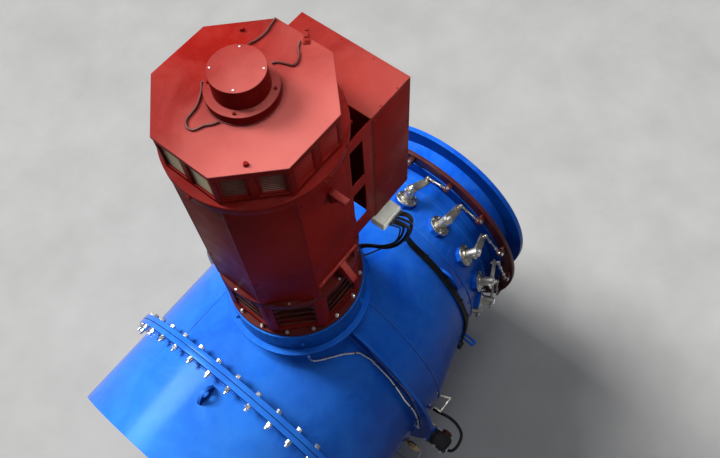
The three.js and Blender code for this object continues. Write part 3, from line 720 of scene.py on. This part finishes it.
def flange_bolts():
    """Bolts through the flange pair and nuts on the saddles' anchors."""
    circle = 975
    bolts, anchors = Shape(), Shape()
    for k in range(40):
        angle = 59.4 - 9 * k
        turn = random.uniform(0, 1)
        nut_and_stud(bolts, stand(around(-699.2, circle, angle), (-1, 0, 0), turn), 30, 0.5)
        bolt_head(bolts, stand(around(-630.8, circle, angle), (1, 0, 0), turn), 30)
    bolts.make("flange_bolts", ZINC, angle=28)
    for x in SADDLES:
        for dx in (-105, 105):
            for y in (-670, -560, 560, 670):
                nut_and_stud(anchors, stand((x + dx, y, FLOOR), UP, random.uniform(0, 1)), 36, 0.8)
    anchors.make("anchor_nuts", ZINC, angle=28)


def saddles():
    shell("upstream_saddle", BLUE, 2.5)
    shell("downstream_saddle", BLUE, 2.5)
    seams = Shape()
    z = FLOOR + 1
    for x in SADDLES:
        for side in (-19, 19):
            seams.add(bead([(x + side, y, z) for y in np.linspace(-636, 636, 200)], 6))
        for y in (-480, 0, 480):
            for side in (-15, 15):
                for start, end in ((-122, -20), (20, 122)):
                    seams.add(bead([(x + dx, y + side, z) for dx in np.linspace(start, end, 24)], 5))
    seams.make("saddle_welds", BLUE_WELD, angle=60)


# Vane bearings, vanes with their levers, and the regulating ring with its links

FIRST_VANE, VANE_STEP = -3.7, 360 / VANES
STEMS_AT = 995
LEAN = math.radians(28)
LEVER_REST = -8
LEVER_LENGTH = 175


def stem_frame(index):
    """The frame of one vane: Z out along its stem, X downstream."""
    angle = FIRST_VANE - VANE_STEP * index
    out = radial(angle)
    axis = Vector((math.sin(LEAN), 0, 0)) + out * math.cos(LEAN)
    along = Vector((math.cos(LEAN), 0, 0)) - out * math.sin(LEAN)
    return axes(along, axis.cross(along), axis, on_casing(STEMS_AT, angle, 0))


def bearing_covers():
    covers, bolts = Shape(), Shape()
    outline = [(45, 15.5), (73, 15.5), (75, 17.5), (75, 23), (73, 25), (50, 25.5), (46, 29), (45, 34),
               (45, 38.6), (43.6, 40.1), (25, 40.1), (25, 38), (43, 38), (43, 15.5)]
    for i in range(VANES):
        place = stem_frame(i)
        covers.add(lathe(outline, 48, True), place)
        for k in range(6):
            seat = place @ move(*polar(62, math.radians(60 * k + 30), 25))
            bolts.add(hexagon(16, 9), seat @ Matrix.Rotation(k, 4, "Z"))
        bolts.add(screw(5, 8, 10, 1.5), place @ stand((0, -45, 33), (0, -1, 0)))
    covers.make("bearing_covers", STEEL)
    bolts.make("bearing_bolts", ZINC, angle=28)


def stadium(length, start, end):
    """The outline of a lever, from the radius of its hub to that of its tip."""
    steps = 14
    lean = math.asin((start - end) / length)
    points = []
    for k in range(steps + 1):
        a = math.pi / 2 - lean + (math.pi + 2 * lean) * k / steps
        points.append((start * math.cos(a), start * math.sin(a)))
    for k in range(steps + 1):
        a = -math.pi / 2 - lean + (math.pi - 2 * lean) * k / steps + 2 * lean
        points.append((length + end * math.cos(a), end * math.sin(a)))
    return points


def vane_blade():
    """The blade from its root to its tip, in the middle of the water."""
    root, tip = (-118, 126, -62), (-60, 66, -398)
    rows, sides, half = 9, 24, 7
    points = []
    for row in range(rows):
        start, end, height = [a + (b - a) * (row / (rows - 1)) for a, b in zip(root, tip)]
        for a in angles(sides):
            x = (start + end) / 2 + (end - start) / 2 * math.cos(a)
            y = half * math.sin(a) * (0.55 + 0.45 * (1 - math.cos(a)) / 2 + 0.25)
            points.append((x, max(-half, min(half, y)), height))
    return points, skin(rows, sides, inward=True)


def vane_forms():
    """One vane at the origin: blade and stem, lever with its hub, and the bright fasteners."""
    blade, lever, bright = Shape(), Shape(), Shape()
    blade.add(vane_blade(), spin("Z", 50))
    blade.add(lathe([(0, -92), (20, -92), (21, -91), (21, 112), (0, 112)], 32))
    rest = spin("Z", LEVER_REST)
    lever.add(plate(stadium(LEVER_LENGTH, 32, 26), 14, 2.5), rest @ move(0, 0, 105))
    lever.add(sleeve(21, 34, 40.4, 118, 2.5, 40))
    lever.add(slab((-58, -14, 97), (-24, -2.5, 113), 2), rest)
    lever.add(slab((-58, 2.5, 97), (-24, 14, 113), 2), rest)
    bright.add(disc(26, 112, 119, 1, 32))
    bright.add(hexagon(36, 12), move(0, 0, 119))
    bright.add(lathe([(11, 130), (11, 136), (9.5, 138), (0, 138)], 20))
    for out in (-1, 1):
        bright.add(hexagon(17, 9), rest @ stand((-44, 14 * out, 105), (0, out, 0)))
    pin = rest @ move(LEVER_LENGTH, 0, 0)
    under = pin @ move(0, 0, 98) @ spin("X", 180)
    bright.add(disc(13, 112, 119, 1.5, 24), pin)
    bright.add(hexagon(24, 14), under)
    bright.add(lathe([(8, 0), (8, 20), (7, 21), (0, 21)], 12), under)
    return blade, lever, bright


def vanes():
    blade, lever, bright = vane_forms()
    for i in range(VANES):
        body = f"guide_vane_{i + 1:02d}"
        place = CASING @ stem_frame(i)
        blade.make(f"{body}_blade", STEEL, place, 40, body, replaces=(body,))
        lever.make(f"{body}_lever", CAST, place, 32, body)
        bright.make(f"{body}_nuts", ZINC, place, 28, body)


def regulating_ring():
    """The ring with the forks, rods and bolts of its links, all riding on it."""
    lead, fork_x, fork_radius = 11, 1200, 805
    ring, rods, bolts = Shape(), Shape(), Shape()
    ring.add(about_x([(745, 1250), (832, 1250), (832, 1278), (745, 1278)], edge=2))
    eye_x, eye_y, _ = polar(LEVER_LENGTH, math.radians(LEVER_REST))
    for i in range(VANES):
        place = stem_frame(i)
        start = place @ Vector((eye_x, eye_y, 132))
        foot_angle = math.degrees(math.atan2(start.y, start.z)) - lead
        eye = place @ move(eye_x, eye_y, 125)
        rods.add(sleeve(8, 17, 0, 14, 1.5, 32), eye)
        bolts.add(hexagon(20, 8), eye @ move(0, 0, 14))
        span = around(fork_x, fork_radius, foot_angle) - start
        axis = span.normalized()
        rods.add(rod([start + axis * 12, start + axis * (span.length - 14)], 7, 20))
        for reach in (26, span.length - 40):
            rods.add(rod([start + axis * reach, start + axis * (reach + 18)], 9.5, 6))
        for reach in (46, span.length - 52):
            bolts.add(hexagon(22, 10), stand(start + axis * reach, axis))
        turn = spin("X", -foot_angle)
        for x, low, high in ((1182, 789, 796), (1182, 814, 821), (1226, 789, 821)):
            ring.add(slab((x, -18, low), (1251, 18, high), 2), turn)
        rods.add(sleeve(7, 16, -8.5, 8.5, 2, 28), turn @ move(fork_x, 0, fork_radius))
        bolts.add(hexagon(20, 8), turn @ move(fork_x, 0, 821))
        bolts.add(hexagon(20, 8), turn @ move(fork_x, 0, 789) @ spin("X", 180))
        for side in (-9, 9):
            bolts.add(hexagon(13, 6), turn @ move(1278, side, fork_radius) @ spin("Y", 90))
    ring.instead_of(RING, MAROON, body=RING)
    rods.make("link_rods", STEEL, angle=32, body=RING)
    bolts.make("link_bolts", ZINC, angle=28, body=RING)


def runner_blade():
    """One runner blade, wrapped round the axis so that its chord follows the pitch."""
    rows, sides = 13, 28
    root, tip, middle = 240, 610, 1290
    pitch, most = math.radians(52), 1.2
    points = []
    for row in range(rows):
        t = row / (rows - 1)
        radius = root + (tip - root) * t
        reach = 140 - 6 * math.cos(t * math.pi)
        for a in angles(sides):
            u = reach * math.cos(a)
            w = 9 * math.sin(a) * (1.0 - 0.35 * t) + 5 * (1 - (u / reach) ** 2) - 2
            wrap = (u * math.sin(pitch) + w * math.cos(pitch)) / radius
            wrap = max(-most, min(most, wrap))
            x = middle + u * math.cos(pitch) - w * math.sin(pitch)
            points.append((x, radius * math.sin(wrap), radius * math.cos(wrap)))
    return points, skin(rows, sides, inward=True)


def runner():
    hub = [(0, 930.3), (276, 930.3), (276, 1180), (258, 1290), (222, 1350), (150, 1420), (82, 1452),
           (0, 1465)]
    wheel = Shape(about_x(rounded(hub, 18, 4), 96, closed=False, edge=0))
    blade = runner_blade()
    for number in range(4):
        wheel.add(blade, spin("X", -90 * number))
    wheel.instead_of("runner", STEEL, angle=38)


# Generator housing

SIDE_FACE, HOOD_FACE = 352, 346


def octagon_side(index):
    return Matrix.Rotation(index * math.pi / 4, 4, "Z")


def housing():
    # Lid, cap and terminal box take red with a lighter layer of dust and painted sheen, the brackets red with
    # painted light on top, and the lower ledge and base flange a darker red as painted shadow.
    for node, material, edge in (
            ("lid", RED_TOP, 3), ("hood", RED, 1.5), ("stator_housing", RED, 2.5), ("lantern", RED, 2),
            ("terminal_box", RED_BOX, 3), ("near_side_plate", RED, 1), ("far_side_plate", RED, 1),
            ("upper_bracket", RED_DUST_AND_LIGHT, 3), ("lower_bracket", RED_DUST_AND_LIGHT, 2.5)):
        shell(node, material, edge)
    cap = turned([(0, 0.3), (145, 0.3), (145, 48), (111, 48), (111, 148), (0, 148)], 4, 128, 3)
    for node, material, form in (
            ("lid_cap", RED_TOP, cap),
            ("rim", RED, disc(386, -245, -200.3, 5, 128, steps=3)),
            ("lower_ledge", RED_SHADED_LEDGE, disc(378, -1255, -1215.3, 4, 128, steps=3)),
            ("base_flange", RED_SHADED_LEDGE, disc(385, -1649.7, -1623.7, 3, 128))):
        Shape(form).instead_of(node, material, GENERATOR, 32)
    repaint("shaft_coupling", MAROON)


def border(face, middle, inset):
    """A flat border with soft edges round a hood window, in the plane of an octagon's side."""
    half, low, high = 55.5, -177.5, -36.5
    steps = ((face - 9, 0), (face - 1.2, 0), (face, 1.2), (face, inset - 1.5), (face - 1.5, inset),
             (face - 9, inset))
    points = []
    for x, shrink in steps:
        for y, z in ((-1, 0), (1, 0), (1, 1), (-1, 1)):
            points.append((x, middle + y * (half - shrink), (high - shrink) if z else (low + shrink)))
    faces = []
    for ring in range(len(steps)):
        after = (ring + 1) % len(steps)
        for k in range(4):
            j = (k + 1) % 4
            faces.append((ring * 4 + k, ring * 4 + j, after * 4 + j, after * 4 + k))
    return points, faces


def louvres():
    """The hood's windows: pale louvres upstream, dusty ones on slanting sides, plain panels elsewhere."""
    pale, dusty, panels, plain, backs = Shape(), Shape(), Shape(), Shape(), Shape()
    face = HOOD_FACE
    for side in range(8):
        turn = octagon_side(side)
        for middle in (-72, 72):
            if side % 2 == 0 and side != 4:
                panels.add(border(face - 0.6, middle, 6), turn)
                plain.add(slab((face - 8, middle - 49, -171), (face - 3, middle + 49, -43), 1.5), turn)
                continue
            if side == 4:
                back, inset = face - 20, 7
                fill, wide, low, high, count, deep = pale, 50, -172, -42, 11, 8
            else:
                back, inset = face - 14, 12
                fill, wide, low, high, count, deep = dusty, 43, -165, -49, 9, 4.4
            # A dark back behind each louvred window: painted shade.
            backs.add(slab((back - 1, middle - 56, -178), (back, middle + 56, -36)), turn)
            panels.add(border(face - 5, middle, inset), turn)
            for k in range(count):
                z = low + (high - low) * (k + 0.5) / count
                lay = move(face - 11, middle, z) @ spin("Y", 30)
                fill.add(slab((-deep / 2, -wide, -1.3), (deep / 2, wide, 1.3), 0.5, 1), turn @ lay)
    pale.make("pale_louvres", BEIGE, GENERATOR)
    dusty.make("dusty_louvres", DUSTY, GENERATOR)
    backs.make("louvre_backs_painted_shade", DARK, GENERATOR)
    panels.make("hood_panels", RED, GENERATOR)
    plain.make("plain_panels", RED_DUST_AND_LIGHT, GENERATOR)


def guards():
    """Barred guards across the lantern's openings, and the seal housing behind them."""
    bars, rings = Shape(), Shape()
    for side in range(8):
        turn = octagon_side(side)
        for k in range(4):
            lay = move(338, 0, -1557 + 68 * k) @ spin("Y", 24)
            bars.add(slab((-2.5, -106, -20), (2.5, 106, 20), 1.5), turn @ lay)
        for y in (-96, 96):
            bars.add(slab((330, y - 7, -1584), (336, y + 7, -1304), 1.5), turn)
    bars.make("lantern_guards", RED_BROWN, GENERATOR)
    for z in (-1560, -1480, -1400):
        rings.add(sleeve(284, 292, z, z + 26, 2, 96))
    rings.make("seal_housing_rings", RED_BROWN, GENERATOR)


def housing_fasteners():
    bright, red = Shape(), Shape()
    for k in range(16):
        seat = stand(polar(368, math.radians(-78 + 22.5 * k), -1623.7), UP, random.uniform(0, 1))
        nut_and_stud(bright, seat, 18, 0.35)
    # Screws on the lid cap and bolts on its foot, then two plugs on the lid
    for k in range(4):
        a = math.radians(36 + 90 * k)
        bright.add(screw(4, 2.4, 2.8, 1, 16), stand(polar(98, a, 148), UP))
        bolt_head(red, stand(polar(128, a - 0.1, 48), UP, a), 11)
    for x, y in ((222, 213), (-226, -218)):
        red.add(disc(11, 0, 3, 1, 24), stand((x, y, 0), UP))
        red.add(hexagon(17, 11), stand((x, y, 3), UP, 0.3))
    # Bolts in the edge of the rim
    for angle, size in ((-177.5, 15), (-93, 13), (-89, 13), (-66, 11), (-49, 13), (-26, 11), (135, 13),
                        (91, 13), (46, 13)):
        a = math.radians(angle)
        out = polar(1, a)
        red.add(disc(size * 0.8, -2, 1.5, 0.8, 20), stand(polar(386, a, -222), out))
        red.add(hexagon(size, size * 0.5), stand(polar(387, a, -222), out, angle))
    # Screws of the hood and of the stator housing
    for side in range(8):
        turn = octagon_side(side)
        for y in (-134, 134):
            for z in (-50, -160):
                red.add(screw(4, 2, 2.4), turn @ stand((HOOD_FACE, y, z), (1, 0, 0)))
        for y in (-130, 130):
            for z in (-300, -980):
                if side == 6 and z == -980:
                    continue
                red.add(screw(5, 2.5, 3), turn @ stand((SIDE_FACE, y, z), (1, 0, 0)))
    for k in range(8):
        bright.add(screw(7, 3, 4, 1, 16), stand(polar(366, math.radians(179 + 45 * k), -1215.3), UP))
    bright.make("bright_fasteners", ZINC, GENERATOR, 28)
    red.make("painted_fasteners", RED, GENERATOR, 28)


def housing_details():
    red, dark, lip = Shape(), Shape(), Shape()
    # Covers of the terminal box, each with a shadow gap round it, and the screws in them and on its top
    side, end, top = 305, 638, -318
    for out in (-1, 1):
        y = side * out
        near, far = sorted((y, y + out * 2.2))
        red.add(slab((372, near, -1163), (628, far, -332), 1))
        near, far = sorted((y, y + out * 0.5))
        dark.add(slab((367.5, near, -1168), (632.5, far, -327)))
        for x in (380, 620):
            for z in (-345, -620, -880, -1150):
                red.add(screw(4.5, 2.2, 2.6), stand((x, y + out * 2.2, z), (0, out, 0)))
    red.add(slab((end, -292, -1163), (end + 2.2, 292, -332), 1))
    dark.add(slab((end - 0.2, -297, -1168), (end + 0.5, 297, -327)))
    for y in (-280, -93, 93, 280):
        for z in (-345, -1150):
            red.add(screw(4.5, 2.2, 2.6), stand((end + 2.2, y, z), (1, 0, 0)))
    for x, y in ((555, -297), (440, -297), (620, -120), (620, 60), (620, 240), (400, 280), (520, 290)):
        red.add(screw(4.5, 2, 2.4), stand((x, y, top), UP))
    # Folded corner strips of the stator housing, on every side but the terminal box's
    for index in range(1, 8):
        turn = octagon_side(index)
        for low_y, high_y in ((-145.6, -139), (139, 145.6)):
            red.add(slab((351.5, low_y, -1213), (352.7, high_y, -247), 0.5, 1), turn)
    # Shadow and frame of the recess low on the near side
    dark.add(slab((-137, -292.6, -1214), (137, -292.1, -1086)))
    lip.add(slab((-140, -364, -1102), (146, -345, -1082), 4, 3))
    for x in (-138, 128):
        red.add(slab((x, -353.5, -1213), (x + 10, -293, -1086), 2))
    lip.add(fillet(14, -1))
    lip.add(fillet(50, 1))
    lip.make("recess_lip", RED_DUST_AND_LIGHT, GENERATOR)
    red.make("housing_trim", RED, GENERATOR)
    # These dark slabs are the gaps round the covers and a painted shadow in the recess.
    dark.make("housing_gaps_and_painted_shadow", DARK, GENERATOR)
    circle = [polar(145.5, 2 * math.pi * k / 160, 2) for k in range(161)]
    Shape(bead(circle, 3.2)).make("cap_weld", RED_WELD, GENERATOR, 60)


def fillet(foot, side):
    """The rounded web where the sloping lower bracket meets its bar."""
    reach = 36
    outline = [(foot, 0)]
    for k in range(9):
        t = k / 8 * math.pi / 2
        outline.append((foot + side * reach * (1 - math.sin(t)), -reach * (1 - math.cos(t))))
    if side > 0:
        outline = outline[::-1]
    slope = Vector((0, 84, 110)).normalized()
    out = Vector((1, 0, 0)).cross(slope)
    lay = axes(Vector((1, 0, 0)), slope, out, Vector((0, -353, -1091)) - out * 6)
    return moved(plate(outline, 12, 1), lay)


def junction_box():
    front, gland_z, lid = -374, -1205, -1175.3
    box, bright, glands = Shape(), Shape(), Shape()
    box.add(slab((345, front, -1235), (487, -290, -1188), 4, 3))
    box.add(slab((344.6, -374.6, -1186.6), (487.4, -289.6, lid), 3, 3))
    for x in (354, 478):
        for y in (-365, -313):
            bright.add(screw(4.5, 2, 2.6, 1, 16), stand((x, y, lid), UP))
            bright.add(slab((-4, -0.6, 1.9), (4, 0.6, 3)), stand((x, y, lid), UP, random.uniform(0, 3)))
    for x, r in ((385, 9), (401, 9), (418, 13), (440, 12), (462, 12), (478, 9)):
        seat = stand((x, front, gland_z), (0, -1, 0))
        bright.add(hexagon(r * 2.1, 7), seat)
        glands.add(turned([(0, 7), (r, 7), (r * 0.85, 19), (0, 19)], 2, 24), seat)
    box.instead_of("junction_box", GREY_BOX, GENERATOR)
    bright.make("junction_box_screws", ZINC, GENERATOR)
    glands.make("cable_glands", GLAND, GENERATOR)


# Tubes and cables, on the routes of their solids

def along_casing(stops, lift):
    """Points on the casing's surface between (x, angle) stops, three degrees apart at most."""
    points = []
    for i in range(1, len(stops)):
        (x0, a0), (x1, a1) = stops[i - 1], stops[i]
        count = max(1, math.ceil(abs(a1 - a0) / 3.0))
        for k in range(0 if i == 1 else 1, count + 1):
            t = k / count
            points.append(on_casing(x0 + (x1 - x0) * t, a0 + (a1 - a0) * t, lift))
    return points


def grease_tube():
    grease = [(-284, -307, 1040), (-284, -307, 940), (-276, -307, 894)] + along_casing([
        (-246, -20.8), (-199, -22.9), (-109, -27), (-45, -31), (-24, -36), (-20, -47.8), (-32, -61.5),
        (-20, -72), (-20, -81), (-22, -92)], 7.2)
    Shape(hose(grease, 6, 18)).instead_of("grease_tube", ZINC, angle=40, slot="tube_steel")
    fittings, clips = Shape(), Shape()
    path = spline(grease)
    for share in (0.02, 0.17, 0.4):
        i = int(share * (len(path) - 2))
        fittings.add(hexagon(17, 18), stand(path[i], path[i + 1] - path[i]))
    for share in (0.3, 0.55, 0.72, 0.88):
        i = int(share * (len(path) - 2))
        out = Vector((0, path[i].y, path[i].z)).normalized()
        run = (path[i + 1] - path[i]).normalized()
        clips.add(slab((-5, -9, -6.8), (5, 9, 8), 3), axes(run, out.cross(run), out, path[i]))
    out = radial(-92)
    fittings.add(hexagon(24, 14), stand(path[-1] - out * 8, out))
    fittings.add(screw(8, 10, 12, 2, 16), stand(path[-1] + out * 6, out))
    fittings.make("tube_fittings", ZINC, angle=28)
    clips.make("tube_clips", GLAND, angle=40)


def casing_cables():
    """The cable from the junction box down and round the taper, and the two that run beside it."""
    free = [(462, -374.5, 1705), (462, -392, 1705), (488, -414, 1676), (516, -424, 1590), (534, -410, 1470),
            (550, -382, 1340), (583, -341, 1180), (657, -286, 1000), (712, -256, 880)]
    laid = [(744, -27), (745, -40), (745, -60), (742, -78), (715, -88), (640, -92)]
    cable = free + [on_casing(735, -19.8, 42), on_casing(741, -23, 17)] + along_casing(laid, 10)
    Shape(hose(cable, 8, 18)).instead_of("casing_cable", RUBBER, angle=40)
    pair = Shape()
    for gland, side in ((440, -17.5), (478, 16)):
        route = [(gland, -374.5, 1705), (gland, -392, 1705), (gland + 22, -415 + side * 0.3, 1674)]
        for x, y, z in free[3:]:
            route.append((x + side * 0.8, y - 3 + side * 0.5, z - 4))
        route += [on_casing(735 + side, -19.8, 42), on_casing(741 + side, -23, 17)]
        beside = [(x + side, angle) for x, angle in laid[:4]]
        route += along_casing(beside + [(715 + side * 0.8, -88 - side * 0.08), (640, -92 - side * 0.1)], 10)
        pair.add(hose(route, 7.4, 18))
    pair.make("casing_cable_pair", RUBBER, angle=40)


def generator_cables():
    """Three cables from the junction box to the drum, with their glands there."""
    thick = [(418, -374.5, -1205), (418, -394, -1205), (440, -426, -1240), (472, -438, -1320),
             (486, -426, -1410), (479, -407, -1500), (460, -366, -1600), (439, -302, -1680),
             (415, -220, -1724), (391, -178, -1744), (361.4, -164.6, -1748)]
    thin = [(385, -374.5, -1205), (385, -390, -1205), (404, -404, -1236), (444, -402, -1320),
            (462, -390, -1410), (460, -378, -1500), (443, -346, -1600), (416, -290, -1672),
            (372, -256, -1696), (328.5, -226, -1703)]
    more = [(401, -374.5, -1205), (401, -390, -1205), (424, -408, -1240), (462, -412, -1322),
            (474, -402, -1410), (470, -386, -1500), (454, -346, -1596), (432, -284, -1668),
            (404, -204, -1706), (380, -164, -1722), (357, -150, -1728)]
    Shape(hose(thick, 10, 20)).instead_of("thick_cable", RUBBER, GENERATOR, 40)
    Shape(hose(thin, 4.5, 14)).instead_of("thin_cable", RUBBER, GENERATOR, 40)
    Shape(hose(more, 7, 18)).make("beside_cable", RUBBER, GENERATOR, 40)
    entries = Shape()
    for across, height, point, out in ((34, 12, (361.2, -164.4, -1748), (0.91, -0.414, 0)),
                                       (20, 10, (327, -225, -1703), (0.824, -0.567, 0)),
                                       (24, 11, (362, -153, -1728), (0.92, -0.39, 0))):
        entries.add(hexagon(across, height), stand(point, out))
    entries.make("drum_glands", GLAND, GENERATOR)


def lid_leads():
    """Three painted leads that lie on the lid, and the clamp at the rim's edge."""
    height = 5.6
    for node, route in (
            ("far_lead", ((116, 96), (148, 122), (180, 141), (211, 132), (245, 127), (276, 128), (308, 136),
                          (342, 143))),
            ("right_lead", ((152, 8), (166, 7), (183, -6), (196, -35), (207, -65), (232, -68), (257, -53),
                            (286, -22), (312, -9))),
            ("left_lead", ((-44, 146), (-60, 158), (-88, 134), (-152, 98), (-220, 84), (-240, 60), (-234, 34),
                           (-196, 16), (-177, -2), (-152, -16)))):
        form = hose([(x, y, height) for x, y in route], 5, 16, 5)
        Shape(form).instead_of(node, LEAD_PAINT, GENERATOR, 40)
    clamp = Shape()
    lay = move(348.5, -12, 0) @ spin("Z", 40)
    clamp.add(slab((-40, -13.5, 0.3), (40, 13.5, 6), 1.5), lay)
    clamp.add(slab((-12, -9, 5), (14, 9, 12), 3), lay)
    for x in (-28, 28):
        clamp.add(hexagon(13, 6), lay @ move(x, 0, 6))
    clamp.instead_of("lead_clamp", RED, GENERATOR)


# The handle, drain cock, branch valve and hose low on the near side

def handle_and_cock():
    shell("side_handle", STEEL, 2)
    barrel = [(0, -4), (13, -4), (13, 28), (20, 32), (20, 79), (13, 83), (13, 106), (0, 106)]
    cock = Shape(turned(barrel, 1.2, 28))
    cock.add(hexagon(36, 14), move(0, 0, 0.5))
    cock.add(hexagon(34, 13), move(0, 0, 82))
    cock.instead_of("drain_cock", BRASS, CASING @ move(-125, -903, -150) @ spin("X", 90))
    drain = [(-125, -1009, -150), (-127, -1024, -153), (-150, -1030, -175), (-186, -1022, -215),
             (-200, -985, -290), (-202, -912, -340), (-202, -860, -352)]
    Shape(hose(drain, 4, 14)).make("drain_tube", STEEL, angle=40, slot="tube_steel")


def side_valve():
    """The branch with its valve, cap and small tube, and the hose from the valve to the barrel."""
    x, z = 56, -350
    shell("valve_branch", BLUE, 1.5)
    valve = Shape()
    valve.add(disc(60, 0.3, 22, 2, 48), move(x, -1004, z) @ spin("X", 90))
    valve.add(slab((4, -1140, -402), (104, -1024, -298), 8, 3))
    for rib in (-390, -376, -362, -338, -324, -310):
        valve.add(slab((10, -1143.5, rib - 2.5), (98, -1139, rib + 2.5), 1.5))
    valve.instead_of("side_valve", RUBBER)
    cap = turned([(0, 0), (38, 0), (38, 30), (28, 38), (0, 38)], 3, 48, 3)
    Shape(moved(cap, stand((104.3, -1084, z), (1, 0, 0)))).instead_of("valve_cap", MAROON, angle=32)
    bright = Shape()
    for k in range(6):
        dx, dz, _ = polar(52, math.radians(60 * k))
        nut_and_stud(bright, stand((x + dx, -990, z + dz), (0, 1, 0)), 13, 0.6)
    bright.add(hose([(112, -905, -300), (112, -960, -318), (114, -1010, -338), (121, -1046, -349)], 5, 14))
    for across, point, out in ((26, (36, -1140.4, z), (0, -1, 0)), (20, (4, -1060, -330), (-1, 0, 0)),
                               (20, (4, -1112, -384), (-1, 0, 0)), (30, (150, -913.5, -80), (0, -1, 0))):
        bright.add(hexagon(across, 14), stand(point, out))
    bright.make("valve_fittings", ZINC)
    route = [(150, -914, -80), (150, -940, -80), (158, -990, -85), (172, -1052, -100), (172, -1116, -130),
             (152, -1174, -185), (116, -1193, -240), (72, -1194, -296), (42, -1178, -334), (36, -1160, z),
             (36, -1140.7, z)]
    Shape(hose(route, 11, 20)).instead_of("valve_hose", RUBBER, angle=40)


def plugs_and_clips():
    """Plugs on the pedestal's drum, clips along the cables on the taper and the clamp at their end."""
    plugs, clips = Shape(), Shape()
    for angle in (-73, 163, 45, -135):
        out = Vector(polar(1, math.radians(angle)))
        seat = stand(out * 395 + Vector((0, 0, 1165)), out)
        plugs.add(disc(17, -1, 4, 1.5, 24), seat)
        plugs.add(hexagon(22, 11), seat @ move(0, 0, 4))
    plugs.make("drum_plugs", BLUE)
    for angle in (-30, -46, -62, -76):
        clips.add(slab((-27, -5, -9.6), (27, 5, 9.2), 4), surface_frame(745, angle, 10))
    clips.add(slab((-24, -28, -10), (22, 28, 14), 4, 3), surface_frame(622, -92, 12))
    clips.make("cable_clips", RUBBER)


# Floor, surroundings and lamps

def pale_floor():
    n = Nodes("pale_floor", specular=0.3)
    color = n.mix(n.span(n.noise(1.5, 6, 0.6), 0.3, 0.7), (0.4, 0.4, 0.395), (0.47, 0.47, 0.465))
    n.bump(n.noise(60, 3, 0.5), 0.05, 0.001)
    half = 40
    mesh = bpy.data.meshes.new("floor")
    corners = [(-half, -half, 0), (half, -half, 0), (half, half, 0), (-half, half, 0)]
    mesh.from_pydata(corners, [], [(0, 1, 2, 3)])
    mesh.materials.append(n.finish(color, 0.75))
    floor = bpy.data.objects.new("floor", mesh)
    bpy.context.scene.collection.objects.link(floor)


def studio():
    world = bpy.data.worlds.new("studio")
    world.use_nodes = True
    background = world.node_tree.nodes["Background"]
    background.inputs["Color"].default_value = (0.86, 0.9, 1.0, 1)
    background.inputs["Strength"].default_value = 0.17
    bpy.context.scene.world = world
    bpy.context.scene.view_settings.view_transform = "Standard"
    # The key lamp is a sun, so its size is an angle and it has no spread; angles are in degrees
    for name, place, aim, size, spread, power, tint in (
            ("key", (-1.6, 7, 6.8), (0, 0, 0), 23, None, 4.5, (1, 0.99, 0.97)),
            ("top", (1.4, -0.2, 8.2), (0.1, 0.1, 4), 2.2, 180, 85, (1, 0.98, 0.95)),
            ("glint", (-0.72, 1.34, 8.27), (-0.97, 0.04, 2.2), 0.2, 180, 55, (1, 1, 1)),
            ("side", (1.3, -4.5, 5.9), (0.15, -0.1, 3.6), 0.6, 25, 4, (1, 0.96, 0.92))):
        data = bpy.data.lights.new(name, "AREA" if spread else "SUN")
        if spread:
            data.size = size
            data.spread = math.radians(spread)
        else:
            data.angle = math.radians(size)
        data.energy = power
        data.color = tint
        lamp = bpy.data.objects.new(name, data)
        lamp.location = place
        lamp.rotation_euler = (Vector(place) - Vector(aim)).to_track_quat("Z", "Y").to_euler()
        bpy.context.scene.collection.objects.link(lamp)


casing_shells()
casing_welds()
flange_bolts()
saddles()
bearing_covers()
vanes()
regulating_ring()
runner()
housing()
louvres()
guards()
housing_fasteners()
housing_details()
junction_box()
grease_tube()
casing_cables()
generator_cables()
lid_leads()
handle_and_cock()
side_valve()
plugs_and_clips()
pale_floor()
studio()
